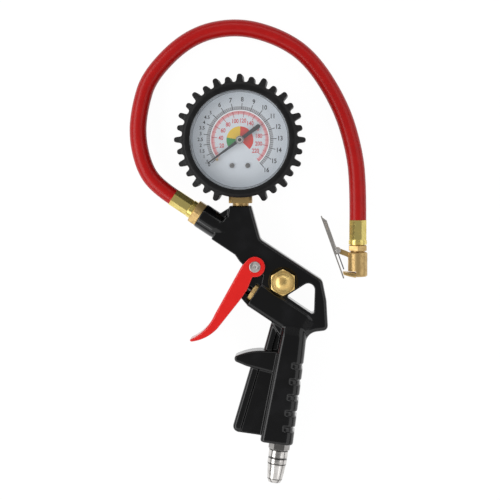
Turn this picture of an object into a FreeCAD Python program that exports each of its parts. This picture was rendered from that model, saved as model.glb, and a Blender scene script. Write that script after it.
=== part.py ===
import FreeCAD, Part
import math
import os
import Sketcher

# Portable tire inflator: a cast pistol body with a trigger valve, a pressure gauge in a rubber boot,
# a quick-connect plug at the foot of the grip and a hose with a clip-on tire chuck.
# It lies on its side on a table. X runs to the chuck, Y to the gauge and Z up from the table.
# The datum of the casting is where the axis of the gauge port crosses the axis of the beam.
# Lengths are millimetres and angles are degrees.

SIZES = {
    # Where the casting lies
    "datum_x": -4.7,
    "datum_y": 24.0,
    "rest_height": 13.0,
    "beam_angle": 33.5,
    "grip_tilt": 7.8,
    # Clearances
    "slip_gap": 0.05,
    "seat_gap": 0.3,
    # Frame of the casting: beam, rear post and heel
    "frame_thickness": 13.8,
    "frame_edge_round": 2.6,
    "beam_depth": 16.7,
    "beam_front_station": 16.0,
    "beam_rear_station": 55.3,
    "rear_top_round": 4.5,
    "post_middle_x": 53.3,
    "post_middle_y": 36.3,
    "heel_x": 54.4,
    "heel_y": 54.6,
    "heel_round": 3.2,
    "post_rim_band": 4.0,
    "post_rim_drop": 0.4,
    "heel_root_x": 41.4,
    "heel_root_y": 56.3,
    "heel_root_round": 7.6,
    "heel_root_length": 11.0,
    "window_front_x": 28.4,
    "window_front_y": 33.5,
    "window_rear_x": 46.2,
    "window_top_y": 21.9,
    "window_foot_x": 45.5,
    "window_foot_y": 45.1,
    "window_top_round": 4.0,
    "window_corner_round": 1.2,
    "frame_inset": 1.0,
    "strut_run": 18.0,
    "crotch_reach": 3.0,
    "crotch_rise": 3.0,
    # Hose boss and gauge boss
    "hose_boss_face": 29.7,
    "hose_boss_diameter": 15.9,
    "hose_boss_root": 18.0,
    "hose_boss_runout": 9.0,
    "boss_sink": 0.4,
    "gauge_boss_height": 22.3,
    "gauge_boss_width": 13.6,
    "gauge_boss_foot": 9.5,
    "gauge_boss_flare": 1.0,
    "notch_web_thickness": 8.0,
    "notch_web_station": 20.3,
    # Valve housing: the lower strut
    "valve_offset": 21.9,
    "valve_face": 25.0,
    "valve_housing_depth": 16.9,
    "valve_housing_drop": 0.25,
    "valve_housing_width": 16.4,
    "valve_housing_rear": 60.0,
    "valve_housing_runout": 70.0,
    "valve_runout_depth": 6.0,
    "valve_runout_half": 6.0,
    "valve_housing_round": 3.0,
    # Lobe that carries the trigger pin
    "pivot_station": 15.95,
    "pivot_offset": 7.6,
    "pivot_lobe_radius": 6.4,
    "lobe_flank_station": 1.6,
    "lobe_knee_station": 6.2,
    "lobe_knee_drop": 1.9,
    # Grip
    "grip_station": 56.3,
    "grip_length": 76.4,
    "grip_thickness": 25.8,
    "grip_foot_front": 12.3,
    "grip_foot_back": 8.2,
    "grip_waist_height": 56.0,
    "grip_waist_front": 9.2,
    "grip_waist_back": 7.7,
    "grip_shoulder_height": 68.0,
    "grip_shoulder_front": 8.4,
    "grip_shoulder_back": 7.3,
    "grip_shoulder_thickness": 22.0,
    "grip_head_height": 78.0,
    "grip_head_thickness": 12.4,
    "grip_front_round": 3.2,
    "grip_back_round": 6.0,
    "grip_foot_round": 1.4,
    "groove_count": 5,
    "groove_pitch": 9.9,
    "groove_height": 3.4,
    "groove_first": 8.4,
    "groove_depth": 0.7,
    "groove_reach": 0.7,
    # Finger ledge and fin in front of the grip
    "ledge_tip_reach": 35.2,
    "ledge_tip_height": 48.4,
    "ledge_tip_round": 1.7,
    "ledge_tip_arc": 2.38,
    "ledge_tip_set": 0.5,
    "ledge_lip_set": 1.4,
    "ledge_top_reach": 20.0,
    "ledge_top_height": 55.8,
    "ledge_top_rise": 1.2,
    "ledge_root_height": 42.6,
    "ledge_under_reach": 27.0,
    "ledge_under_height": 44.9,
    "ledge_top_arc": 38.0,
    "ledge_width": 17.0,
    "ledge_edge_round": 1.5,
    "fin_web_thickness": 6.4,
    "fin_top_reach": 24.2,
    "fin_foot_reach": 30.9,
    "fin_foot_height": 2.6,
    "fin_foot_round": 3.6,
    "bead_width": 5.4,
    "bead_thickness": 9.0,
    "bead_round": 2.6,
    "throat_bead_foot": 18.2,
    "throat_bead_head": 15.6,
    "throat_bead_width": 5.0,
    "throat_head_drop": 3.0,
    "throat_bead_thickness": 12.0,
    # Ports and passages inside the casting
    "port_thread_diameter": 9.7,
    "hose_port_depth": 10.5,
    "gauge_port_depth": 9.5,
    "passage_diameter": 4.0,
    "valve_thread_diameter": 10.0,
    "valve_thread_depth": 8.4,
    "outlet_chamber_diameter": 7.0,
    "valve_seat_station": 42.0,
    "valve_seat_thickness": 1.5,
    "valve_seat_diameter": 4.8,
    "inlet_chamber_diameter": 8.0,
    "inlet_chamber_end": 60.0,
    "inlet_passage_diameter": 4.6,
    "plug_port_depth": 11.0,
    "plug_thread_diameter": 11.2,
    "cap_station": 35.6,
    "cap_offset": 5.9,
    "cap_port_floor": 2.6,
    "cap_thread_diameter": 9.8,
    "cap_spotface_diameter": 18.0,
    "cap_spotface_depth": 0.4,
    "cap_spotface_reach": 5.0,
    "cross_passage_diameter": 2.6,
    # Valve parts
    "bushing_hex": 12.0,
    "bushing_head_thickness": 2.7,
    "bushing_thread_length": 7.6,
    "stem_diameter": 2.4,
    "stem_front": 12.0,
    "stem_dome": 0.6,
    "seal_ring_thickness": 1.4,
    "seal_ring_diameter": 4.8,
    "seal_ring_recess": 2.0,
    "poppet_diameter": 6.6,
    "poppet_thickness": 1.6,
    "poppet_back_diameter": 3.6,
    "poppet_back_length": 1.2,
    "spring_diameter": 6.2,
    "spring_wire": 0.7,
    "spring_turns": 6,
    "cap_hex": 14.4,
    "cap_hex_thickness": 4.4,
    "cap_chamfer": 0.6,
    "cap_dome_radius": 5.7,
    "cap_dome_height": 2.6,
    "cap_collar_height": 0.7,
    "cap_spigot_length": 5.4,
    "cap_spigot_bore": 5.0,
    "cap_washer_thickness": 0.8,
    "cap_washer_diameter": 13.4,
    # Trigger and its pin
    "trigger_inner_width": 14.5,
    "trigger_wall": 2.0,
    "trigger_eye_radius": 6.3,
    "trigger_web": 2.2,
    "trigger_web_drop": 0.8,
    "trigger_toe_cut": 3.0,
    "trigger_edge_round": 1.3,
    "trigger_top_x": 8.4,
    "trigger_top_y": 0.2,
    "trigger_bend_front_x": 25.0,
    "trigger_bend_front_y": 29.8,
    "trigger_tip_x": 40.6,
    "trigger_tip_y": 45.4,
    "trigger_tip_thickness": 1.5,
    "trigger_bend_back_x": 22.9,
    "trigger_bend_back_y": 38.0,
    "trigger_waist_x": 9.3,
    "trigger_waist_y": 20.8,
    "trigger_heel_x": 4.8,
    "trigger_heel_y": 14.3,
    "trigger_front_arc": 30.0,
    "trigger_back_arc": 26.0,
    "trigger_eye_start": -103.0,
    "trigger_eye_end": 140.0,
    "trigger_lobe_gap": 0.5,
    "pin_diameter": 4.0,
    "pin_head_diameter": 6.8,
    "pin_head_thickness": 1.3,
    "pin_head_recess": 0.7,
    "pin_socket_diameter": 2.4,
    "pin_socket_depth": 0.8,
    "pin_screw_diameter": 2.6,
    "pin_screw_length": 9.0,
    # Gauge: case, dial and boot
    "case_radius": 33.0,
    "gauge_stand": 29.9,
    "case_wall": 0.8,
    "case_back": 2.0,
    "case_front": 29.9,
    "lens_back": 27.5,
    "lens_thickness": 1.8,
    "lens_gap": 0.2,
    "spacer_width": 2.4,
    "spacer_back": 22.8,
    "dial_thickness": 0.5,
    "dial_hole_radius": 2.4,
    "dial_screw_spread": 9.6,
    "dial_screw_drop": 15.7,
    "dial_screw_head_radius": 1.5,
    "dial_screw_head_height": 0.8,
    "dial_screw_shank_radius": 0.8,
    "dial_screw_length": 3.6,
    "dial_screw_slot": 0.4,
    "stop_pin_x": 13.95,
    "stop_pin_y": 12.0,
    "stop_pin_radius": 0.8,
    "stop_pin_height": 2.3,
    "boot_thickness": 32.0,
    "boot_wall": 2.2,
    "boot_front_lip_width": 2.8,
    "boot_front_lip": 1.7,
    "boot_back_lip_width": 8.0,
    "boot_back_lip": 1.6,
    "boot_front_chamfer": 1.6,
    "boot_notch_width": 16.5,
    "tooth_places": 32,
    "long_tooth_count": 15,
    "tooth_root_width": 4.4,
    "tooth_tip_width": 3.2,
    "tooth_corner": 0.8,
    "tooth_length": 5.0,
    "tooth_step": 1.3,
    "tooth_back": 2.0,
    "tooth_front": 30.2,
    "tooth_slope": 4.0,
    # Gauge works
    "socket_square": 14.2,
    "socket_foot": 24.0,
    "socket_neck_diameter": 10.0,
    "socket_bevel": 1.6,
    "socket_block_length": 7.6,
    "socket_inner_length": 18.0,
    "socket_inner_width": 13.0,
    "socket_inner_back": 6.5,
    "socket_bore": 3.0,
    "tube_inset": 8.0,
    "tube_width": 7.0,
    "tube_thickness": 2.4,
    "tube_wall": 0.5,
    "tube_start": 16.3,
    "tube_sweep": 262.0,
    "tube_end_plug": 5.0,
    "works_plate": 1.0,
    "works_width": 15.0,
    "works_rise": 5.0,
    "works_gap": 2.2,
    "works_foot": 19.5,
    "pillar_radius": 1.7,
    "spindle_radius": 0.8,
    "spindle_back": 18.3,
    "spindle_front": 24.8,
    "pinion_radius": 1.8,
    "pinion_rise": 0.4,
    "pinion_length": 1.4,
    "pinion_teeth": 10,
    "pinion_tooth_width": 0.45,
    "pointer_height": 24.4,
    "pointer_thickness": 0.4,
    "pointer_tip_length": 24.4,
    "pointer_tip_width": 0.7,
    "pointer_root_width": 2.0,
    "pointer_tail_length": 15.4,
    "pointer_tail_width": 2.6,
    "pointer_hub_radius": 2.5,
    "pointer_rest_angle": 216.0,
    "pointer_cap_height": 1.0,
    # Hose fittings at the gun
    "hose_hex": 14.2,
    "hose_hex_thickness": 5.2,
    "hose_spigot_length": 9.0,
    "barb_diameter": 6.0,
    "fitting_bore": 3.4,
    "ferrule_length": 15.2,
    "ferrule_diameter": 11.4,
    "ferrule_ring_length": 2.6,
    "ferrule_ring_groove": 0.5,
    "ferrule_flats": 8,
    "ferrule_flat_depth": 0.42,
    "hose_diameter": 10.5,
    "hose_bore": 6.0,
    # Chuck
    "chuck_x": 68.0,
    "chuck_y": 37.2,
    "chuck_height": 6.4,
    "adapter_gap": 0.6,
    "adapter_hex": 10.9,
    "adapter_hex_thickness": 3.2,
    "adapter_neck_diameter": 9.0,
    "adapter_neck_length": 0.9,
    "adapter_spigot_diameter": 6.6,
    "adapter_spigot_length": 3.4,
    "chuck_diameter": 12.1,
    "chuck_length": 15.3,
    "chuck_edge_round": 0.7,
    "chuck_mouth_diameter": 8.3,
    "chuck_mouth_depth": 8.3,
    "chuck_notch_height": 3.4,
    "chuck_notch_reach": 0.9,
    "lug_thickness": 2.8,
    "lug_reach": 12.4,
    "lug_drop": 0.9,
    "lug_eye_radius": 1.7,
    "lug_root_start": 0.4,
    "lug_root": 3.4,
    "lug_neck": 2.0,
    "gasket_thickness": 2.2,
    "gasket_diameter": 9.4,
    "gasket_bore": 3.0,
    "depressor_diameter": 2.0,
    "depressor_flange_diameter": 2.9,
    "depressor_flange_thickness": 1.0,
    "depressor_length": 2.1,
    # Plug at the foot of the grip
    "plug_hex": 11.4,
    "plug_hex_thickness": 4.8,
    "plug_neck_radius": 5.4,
    "plug_neck_end": 5.4,
    "plug_land_radius": 6.0,
    "plug_land_end": 9.6,
    "plug_groove_radius": 5.2,
    "plug_groove_end": 10.6,
    "plug_bead_end": 13.6,
    "plug_nose_start": 14.2,
    "plug_nose_radius": 5.75,
    "plug_nose_end": 23.5,
    "plug_nose_end_radius": 4.75,
    "plug_length": 25.8,
    "plug_mouth_radius": 3.9,
    "plug_bore": 6.4,
    "plug_spigot_length": 10.0,
    # Clip of the chuck
    "clip_tilt": 20.0,
    "clip_width": 7.6,
    "clip_sheet": 0.8,
    "clip_offset": 2.8,
    "clip_thumb_length": 23.8,
    "clip_tail_length": 17.4,
    "clip_flange_depth": 2.6,
    "clip_thumb_flange_top": 22.4,
    "clip_cheek_radius": 1.9,
    "clip_pin_diameter": 1.6,
    "clip_pin_head": 0.5,
    "clip_pin_head_diameter": 2.6,
    "clip_slot_start": 14.8,
    "clip_slot_length": 5.0,
    "clip_slot_width": 1.1,
    "claw_root_x": 3.9,
    "claw_root_lean": 0.5,
    "claw_root_low": 1.5,
    "claw_root_high": 2.7,
    "claw_bend_x": 7.5,
    "claw_bend_low": 0.5,
    "claw_drop": 0.2,
    "claw_tip_high": 2.1,
    "claw_width": 10.4,
    "claw_notch_radius": 4.3,
    "claw_reach": 1.3,
    "clip_spring_wire": 0.7,
    "clip_spring_eye": 1.5,
    "clip_spring_width": 1.0,
    "clip_spring_gap": 0.2,
    "clip_spring_leg": 12.2,
}

# Route of the hose, chosen by hand from its mouth in the gun's ferrule to the chuck's ferrule
HOSE_ROUTE = [
    (-56.12, 58.03, 13.0),
    (-64.5, 69.1, 12.2),
    (-69.3, 88.8, 10.4),
    (-67.6, 107.7, 8.3),
    (-61.5, 127.4, 6.2),
    (-36.9, 151.3, 5.6),
    (-8.1, 157.9, 5.6),
    (19.0, 150.8, 5.6),
    (39.2, 136.9, 5.6),
    (57.3, 107.9, 5.7),
    (65.5, 81.0, 6.1),
    (68.0, 59.5, 6.4),
]

# Share of the shorter run beside a corner of the route that the bend takes up
BEND_SHARE = 0.45
# Sides of a nut, and the part of its width that the turned chamfer leaves flat
HEXAGON = 6
CHAMFER_SHARE = 0.97
# Radius of a rounded end over half its width
ROUND_END = 1.02
# How near an edge lies to the place or face that it is picked by
NEAR = 0.05
FLUSH = 0.01
# A circle's centre among the points of a sketch
CENTRE_POINT = 3

doc = FreeCAD.newDocument("TireInflator")
sheet = doc.addObject("Spreadsheet::Sheet", "Sizes")
for row, (alias, value) in enumerate(SIZES.items(), start=1):
    sheet.set(f"A{row}", alias)
    sheet.set(f"B{row}", str(value))
    sheet.setAlias(f"B{row}", alias)
doc.recompute()


class Size:
    """A length, angle or count: its value, and the expression that gives it in the document."""

    def __init__(self, value, text):
        self.value = value
        self.text = text

    def __add__(self, other):
        other = as_size(other)
        return Size(self.value + other.value, f"({self.text} + {other.text})")

    def __sub__(self, other):
        other = as_size(other)
        return Size(self.value - other.value, f"({self.text} - {other.text})")

    def __mul__(self, other):
        other = as_size(other)
        return Size(self.value * other.value, f"({self.text} * {other.text})")

    def __truediv__(self, other):
        other = as_size(other)
        return Size(self.value / other.value, f"({self.text} / {other.text})")

    def __rtruediv__(self, other):
        return as_size(other) / self

    def __radd__(self, other):
        return as_size(other) + self

    def __rsub__(self, other):
        return as_size(other) - self

    def __rmul__(self, other):
        return as_size(other) * self

    def __neg__(self):
        return Size(-self.value, f"(0 - {self.text})")


def as_size(number):
    """A plain number as a Size."""
    if isinstance(number, Size):
        return number
    return Size(float(number), repr(float(number)))


def sine(angle):
    """Sine of an angle in degrees."""
    angle = as_size(angle)
    return Size(math.sin(math.radians(angle.value)), f"sin({angle.text})")


def cosine(angle):
    """Cosine of an angle in degrees."""
    angle = as_size(angle)
    return Size(math.cos(math.radians(angle.value)), f"cos({angle.text})")


def square_root(number):
    """Square root of a number or of an area."""
    number = as_size(number)
    return Size(math.sqrt(number.value), f"sqrt({number.text})")


class Cells:
    """Gives a cell of the sheet by its alias, as in dim.beam_depth."""

    def __getattr__(self, alias):
        return Size(SIZES[alias], "Sizes." + alias)


dim = Cells()
ZERO = as_size(0)


def beam_point(station, offset):
    """Place on the casting, from a distance along the beam and a distance above its axis."""
    station, offset = as_size(station), as_size(offset)
    along, across = cosine(dim.beam_angle), sine(dim.beam_angle)
    return (station * along + offset * across, offset * along - station * across)


def grip_point(reach, height):
    """Place on the casting, from a distance behind the grip's axis and a height above its foot."""
    reach, height = as_size(reach), as_size(height)
    top = beam_point(dim.grip_station, -dim.valve_offset)
    up, across = cosine(dim.grip_tilt), sine(dim.grip_tilt)
    rise = height - dim.grip_length
    return (top[0] + rise * across + reach * up, top[1] + rise * up - reach * across)


def row_place(point, height=None):
    """Place in the frame of the whole object, from a place on the casting."""
    height = dim.rest_height if height is None else as_size(height)
    return (dim.datum_x + point[0], dim.datum_y + point[1], height)


def bind(thing, name, size):
    """Ties a property to its expression."""
    thing.setExpression(name, as_size(size).text)


def new_body(label, place, angle=None):
    """A body for one piece, at its place and turned about Z."""
    body = doc.addObject("PartDesign::Body", label)
    body.Label = label
    turn = as_size(0 if angle is None else angle)
    x, y, z = (as_size(part) for part in place)
    corner = FreeCAD.Vector(x.value, y.value, z.value)
    body.Placement = FreeCAD.Placement(corner, FreeCAD.Rotation(FreeCAD.Vector(0, 0, 1), turn.value))
    bind(body, "Placement.Base.x", x)
    bind(body, "Placement.Base.y", y)
    bind(body, "Placement.Base.z", z)
    if angle is not None:
        bind(body, "Placement.Rotation.Angle", turn)
    return body


def new_sketch(body, role="XY_Plane", shift=(0, 0, 0), angle=None):
    """A sketch on one of the body's own planes, shifted and turned within it."""
    plane = [feature for feature in body.Origin.OriginFeatures if feature.Role == role][0]
    sketch = body.newObject("Sketcher::SketchObject", body.Label + "_sketch")
    sketch.AttachmentSupport = [(plane, "")]
    sketch.MapMode = "FlatFace"
    turn = as_size(0 if angle is None else angle)
    x, y, z = (as_size(part) for part in shift)
    corner = FreeCAD.Vector(x.value, y.value, z.value)
    sketch.AttachmentOffset = FreeCAD.Placement(
        corner, FreeCAD.Rotation(FreeCAD.Vector(0, 0, 1), turn.value))
    bind(sketch, "AttachmentOffset.Base.x", x)
    bind(sketch, "AttachmentOffset.Base.y", y)
    bind(sketch, "AttachmentOffset.Base.z", z)
    if angle is not None:
        bind(sketch, "AttachmentOffset.Rotation.Angle", turn)
    return sketch


def constrain(sketch, kind, elements, size):
    """Adds a sized constraint and ties it to its expression."""
    number = sketch.addConstraint(Sketcher.Constraint(kind, *elements, size.value))
    name = f"{kind.lower()}_{number}"
    sketch.renameConstraint(number, name)
    sketch.setExpression("Constraints." + name, size.text)


def arc_centre(start, end, radius):
    """Centre of the arc from start to end that turns left for a radius above zero, or else right."""
    middle = (start + end) * 0.5
    chord = end - start
    left = FreeCAD.Vector(-chord.y, chord.x, 0).normalize()
    rise = math.sqrt(max(radius * radius - chord.Length ** 2 / 4, 0))
    return middle + left * math.copysign(rise, radius)


def draw_outline(sketch, corners):
    """A closed outline through corners (x, y), or (x, y, radius) where an arc leaves that corner."""
    places = [FreeCAD.Vector(as_size(c[0]).value, as_size(c[1]).value, 0) for c in corners]
    heads, tails = [], []
    for index, corner in enumerate(corners):
        start, end = places[index], places[(index + 1) % len(places)]
        if len(corner) == 2:
            edge = sketch.addGeometry(Part.LineSegment(start, end), False)
            heads.append((edge, 1))
            tails.append((edge, 2))
            continue
        radius = as_size(corner[2])
        centre = arc_centre(start, end, radius.value)
        first, last = (start, end) if radius.value > 0 else (end, start)
        circle = Part.Circle(centre, FreeCAD.Vector(0, 0, 1), abs(radius.value))
        angles = [math.atan2(point.y - centre.y, point.x - centre.x) for point in (first, last)]
        edge = sketch.addGeometry(Part.ArcOfCircle(circle, *angles), False)
        heads.append((edge, 1 if radius.value > 0 else 2))
        tails.append((edge, 2 if radius.value > 0 else 1))
        size = radius if radius.value > 0 else -radius
        constrain(sketch, "Radius", (edge,), size)
    for index, corner in enumerate(corners):
        sketch.addConstraint(Sketcher.Constraint("Coincident", *tails[index - 1], *heads[index]))
        constrain(sketch, "DistanceX", (-1, 1, *heads[index]), as_size(corner[0]))
        constrain(sketch, "DistanceY", (-1, 1, *heads[index]), as_size(corner[1]))


def draw_circle(sketch, x, y, radius):
    """A circle with its centre and radius tied to their sizes."""
    x, y, radius = as_size(x), as_size(y), as_size(radius)
    centre = FreeCAD.Vector(x.value, y.value, 0)
    edge = sketch.addGeometry(Part.Circle(centre, FreeCAD.Vector(0, 0, 1), radius.value), False)
    constrain(sketch, "Radius", (edge,), radius)
    constrain(sketch, "DistanceX", (-1, 1, edge, CENTRE_POINT), x)
    constrain(sketch, "DistanceY", (-1, 1, edge, CENTRE_POINT), y)


def box_corners(left, right, low, high):
    """Corners of an upright rectangle."""
    return [(left, low), (right, low), (right, high), (left, high)]


def polygon_corners(sides, across_flats, first_angle):
    """Corners of a regular polygon about the origin."""
    corner = as_size(across_flats) / 2 / cosine(180 / sides)
    angles = [first_angle + 360 / sides * k for k in range(sides)]
    return [(corner * cosine(angle), corner * sine(angle)) for angle in angles]


def rounded_box_corners(left, right, half_height, left_round, right_round):
    """Corners of a rectangle from x = left to x = right with rounded corners, and y either way."""
    left, right, half = as_size(left), as_size(right), as_size(half_height)
    first, last = as_size(left_round), as_size(right_round)
    return [
        (left + first, -half), (right - last, -half, last), (right, last - half),
        (right, half - last, last), (right - last, half), (left + first, half, first),
        (left, half - first), (left, first - half, first),
    ]


def extrude(body, kind, sketch, length, both_ways=False, backwards=False):
    """A pad or a pocket of the sketch."""
    feature = body.newObject("PartDesign::" + kind, body.Label + "_" + kind.lower())
    feature.Profile = sketch
    feature.Type = 0
    feature.Midplane = both_ways
    feature.Reversed = backwards
    feature.Length = as_size(length).value
    bind(feature, "Length", length)
    sketch.Visibility = False
    return feature


def turn_about(body, kind, sketch, axis):
    """A revolution or a groove of the sketch about one of the sketch's axes."""
    feature = body.newObject("PartDesign::" + kind, body.Label + "_" + kind.lower())
    feature.Profile = sketch
    feature.ReferenceAxis = (sketch, [axis])
    feature.Angle = 360
    sketch.Visibility = False
    return feature


def turned(body, kind, profile, shift=(0, 0, 0), angle=None):
    """Turns a profile of (station, radius) about a line along X within the body."""
    sketch = new_sketch(body, "XY_Plane", shift, angle)
    draw_outline(sketch, profile)
    return turn_about(body, kind, sketch, "H_Axis")


def stacked(body, kind, profile):
    """Turns a profile of (radius, height) about the body's Z axis."""
    sketch = new_sketch(body, "XZ_Plane")
    draw_outline(sketch, profile)
    return turn_about(body, kind, sketch, "V_Axis")


def stepped_profile(stations, radii):
    """Profile of a solid turning: radii[i] holds from stations[i] to stations[i + 1]."""
    profile = [(stations[0], ZERO)]
    for index, radius in enumerate(radii):
        profile += [(stations[index], radius), (stations[index + 1], radius)]
    return profile + [(stations[-1], ZERO)]


def ring_profile(start, end, inner, outer):
    """Profile of a plain sleeve along an axis."""
    return [(start, inner), (end, inner), (end, outer), (start, outer)]


def edges_where(feature, test):
    """Names of the edges whose ends and middle all pass a test on their place."""
    doc.recompute()
    names = []
    for number, edge in enumerate(feature.Shape.Edges, start=1):
        span = edge.LastParameter - edge.FirstParameter
        places = [edge.valueAt(edge.FirstParameter + span * share) for share in (0, 0.5, 1)]
        if all(test(place) for place in places):
            names.append(f"Edge{number}")
    return names


def dress(body, kind, test, size):
    """A fillet or a chamfer on the edges of the body's last feature that pass the test."""
    base = body.Tip
    names = edges_where(base, test)
    feature = body.newObject("PartDesign::" + kind, body.Label + "_" + kind.lower())
    feature.Base = (base, names)
    name = "Radius" if kind == "Fillet" else "Size"
    bind(feature, name, size)
    return feature


def join(body, stocks):
    """Fuses other bodies, drawn in this body's own coordinates, into this one."""
    doc.recompute()
    fused = body.newObject("PartDesign::Boolean", body.Label + "_join")
    fused.Type = 0
    fused.setObjects(stocks)
    return fused


def near(place, point, reach=NEAR):
    """Whether a place lies over a point of the casting's middle plane."""
    return math.hypot(place.x - point[0].value, place.y - point[1].value) < reach


def drill_beam(body, profile, offset=0):
    """Turns a stepped bore about a line parallel to the beam."""
    base = beam_point(0, offset)
    return turned(body, "Groove", profile, (base[0], base[1], 0), -dim.beam_angle)


def polar_pattern(body, features, count, sweep=360, plane=None, axis="N_Axis"):
    """Repeats features about an axis of a sketch."""
    pattern = body.newObject("PartDesign::PolarPattern", body.Label + "_pattern")
    pattern.Originals = features
    pattern.Axis = (plane, [axis])
    pattern.Angle = as_size(sweep).value
    bind(pattern, "Angle", sweep)
    pattern.Occurrences = int(as_size(count).value)
    bind(pattern, "Occurrences", count)
    body.Tip = pattern
    return pattern


# Casting: the aluminium body of the gun, die-cast in one piece and enamelled black

def pistol_casting():
    """Beam, valve strut and rear post round a window, two bosses, and a grip with its finger ledge."""
    body = new_body("pistol_casting", row_place((ZERO, ZERO)))
    frame_of_casting(body)
    bosses_of_casting(body)
    valve_housing(body)
    grip_of_casting(body)
    finger_guard(body)
    ports_of_casting(body)
    return body


def frame_of_casting(body):
    """The flat frame: its outline is padded both ways from the parting plane and its edges rounded."""
    top = dim.beam_depth / 2
    lobe = beam_point(dim.pivot_station, -dim.pivot_offset)
    lobe_rear = (lobe[0] + dim.pivot_lobe_radius * cosine(dim.beam_angle),
                 lobe[1] - dim.pivot_lobe_radius * sine(dim.beam_angle))
    lobe_front = (lobe[0] - dim.pivot_lobe_radius, lobe[1])
    strut_low = -(dim.valve_offset + dim.valve_housing_depth / 2)
    front_low = beam_point(dim.valve_face, strut_low)
    rear_top = beam_point(dim.beam_rear_station, top)
    post_middle = (dim.post_middle_x, -dim.post_middle_y)
    heel = (dim.heel_x, -dim.heel_y)
    root = (dim.heel_root_x, -dim.heel_root_y)
    waist = (root[0] - dim.heel_root_length * sine(dim.grip_tilt),
             root[1] - dim.heel_root_length * cosine(dim.grip_tilt))
    boss_foot = beam_point(dim.gauge_boss_foot, top)
    boss_right = (dim.gauge_boss_width / 2, dim.gauge_boss_height)
    boss_left = (-dim.gauge_boss_width / 2, dim.gauge_boss_height)
    boss_left_foot_x = -(dim.gauge_boss_width / 2 + dim.gauge_boss_flare)
    left_rise = (top - boss_left_foot_x * sine(dim.beam_angle)) / cosine(dim.beam_angle)
    boss_left_foot = (boss_left_foot_x, left_rise)
    outline = [
        beam_point(-dim.beam_front_station, top), beam_point(-dim.beam_front_station, -top),
        beam_point(dim.lobe_flank_station, -top),
        beam_point(dim.lobe_knee_station, -top - dim.lobe_knee_drop),
        (lobe_front[0], lobe_front[1], dim.pivot_lobe_radius), lobe_rear,
        beam_point(dim.valve_face, -dim.valve_offset + dim.valve_housing_depth / 2 - dim.frame_inset),
        front_low, beam_point(dim.valve_face + dim.strut_run, strut_low),
        grip_point(-dim.crotch_reach, dim.grip_waist_height + dim.crotch_rise),
        waist, root, heel, post_middle, rear_top, boss_foot, boss_right, boss_left, boss_left_foot,
    ]
    sketch = new_sketch(body)
    draw_outline(sketch, outline)
    extrude(body, "Pad", sketch, dim.frame_thickness, both_ways=True)
    window = new_sketch(body)
    front = (dim.window_front_x, -dim.window_front_y)
    upper = (dim.window_rear_x, -dim.window_top_y)
    lower = (dim.window_foot_x, -dim.window_foot_y)
    draw_outline(window, [front, lower, upper])
    extrude(body, "Pocket", window, dim.frame_thickness, both_ways=True)
    dress(body, "Fillet", lambda place: near(place, upper), dim.window_top_round)
    dress(body, "Fillet", lambda place: near(place, front) or near(place, lower),
          dim.window_corner_round)
    dress(body, "Fillet", lambda place: near(place, rear_top), dim.rear_top_round)
    dress(body, "Fillet", lambda place: near(place, heel), dim.heel_round)
    dress(body, "Fillet", lambda place: near(place, boss_foot), dim.rear_top_round)
    dress(body, "Fillet", lambda place: near(place, root), dim.heel_root_round)
    half = dim.frame_thickness.value / 2
    tilt = math.radians(dim.beam_angle.value)
    post_back = post_middle[0].value - dim.post_rim_band.value

    def rear_rim(place):
        on_face = abs(abs(place.z) - half) < FLUSH
        rear = place.x > boss_right[0].value - NEAR and place.y > heel[1].value - dim.post_rim_drop.value
        upper = place.x * math.sin(tilt) + place.y * math.cos(tilt) > top.value - NEAR
        return on_face and rear and (upper or place.x > post_back)

    dress(body, "Fillet", rear_rim, dim.frame_edge_round)


def bosses_of_casting(body):
    """The round boss for the hose, and the thin web in the notch between it and the gauge boss."""
    radius = dim.hose_boss_diameter / 2
    root = dim.frame_thickness / 2 - dim.boss_sink
    turned(body, "Revolution", [
        (-dim.hose_boss_face, ZERO), (-dim.hose_boss_face, radius), (-dim.hose_boss_root, radius),
        (-dim.hose_boss_runout, root), (-dim.hose_boss_runout, ZERO),
    ], (0, 0, 0), -dim.beam_angle)
    web = new_sketch(body)
    draw_outline(web, [
        (-dim.gauge_boss_width / 2 + 1, dim.gauge_boss_height - dim.boss_sink),
        beam_point(-dim.notch_web_station, radius - dim.boss_sink),
        beam_point(-dim.notch_web_station, ZERO),
        (-dim.gauge_boss_width / 2 + 1, ZERO),
    ])
    extrude(body, "Pad", web, dim.notch_web_thickness, both_ways=True)


def standing_sketch(body, place, turn):
    """A sketch square to the casting's middle plane, its x axis turned from the casting's X."""
    sketch = new_sketch(body, "XZ_Plane")
    corner = FreeCAD.Vector(place[0].value, 0, -place[1].value)
    axis = FreeCAD.Vector(0, 1, 0)
    sketch.AttachmentOffset = FreeCAD.Placement(corner, FreeCAD.Rotation(axis, turn.value))
    bind(sketch, "AttachmentOffset.Base.x", place[0])
    bind(sketch, "AttachmentOffset.Base.z", -place[1])
    bind(sketch, "AttachmentOffset.Rotation.Angle", turn)
    return sketch


def loft_through(body, sections):
    """A ruled loft through closed sketches with as many corners each."""
    loft = body.newObject("PartDesign::AdditiveLoft", body.Label + "_loft")
    loft.Profile = sections[0]
    loft.Sections = sections[1:]
    loft.Ruled = True
    return loft


def valve_housing(body):
    """The lower strut: a deep bar along the valve's axis with rounded edges, run out in the heel."""
    low = -dim.valve_offset - dim.valve_housing_depth / 2 - dim.valve_housing_drop
    high = low + dim.valve_housing_depth
    half = dim.valve_housing_width / 2
    corner = dim.valve_housing_round
    sections = []
    for station, bottom, top, side, edge in (
            (dim.valve_face, low, high, half, corner),
            (dim.valve_housing_rear, low, high, half, corner),
            (dim.valve_housing_runout, high - dim.valve_runout_depth, high - 1, dim.valve_runout_half,
             corner / 2)):
        sketch = standing_sketch(body, beam_point(station, 0), 90 - dim.beam_angle)
        draw_outline(sketch, rounded_box_corners(bottom, top, side, edge, edge))
        sections.append(sketch)
    loft_through(body, sections)


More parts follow.
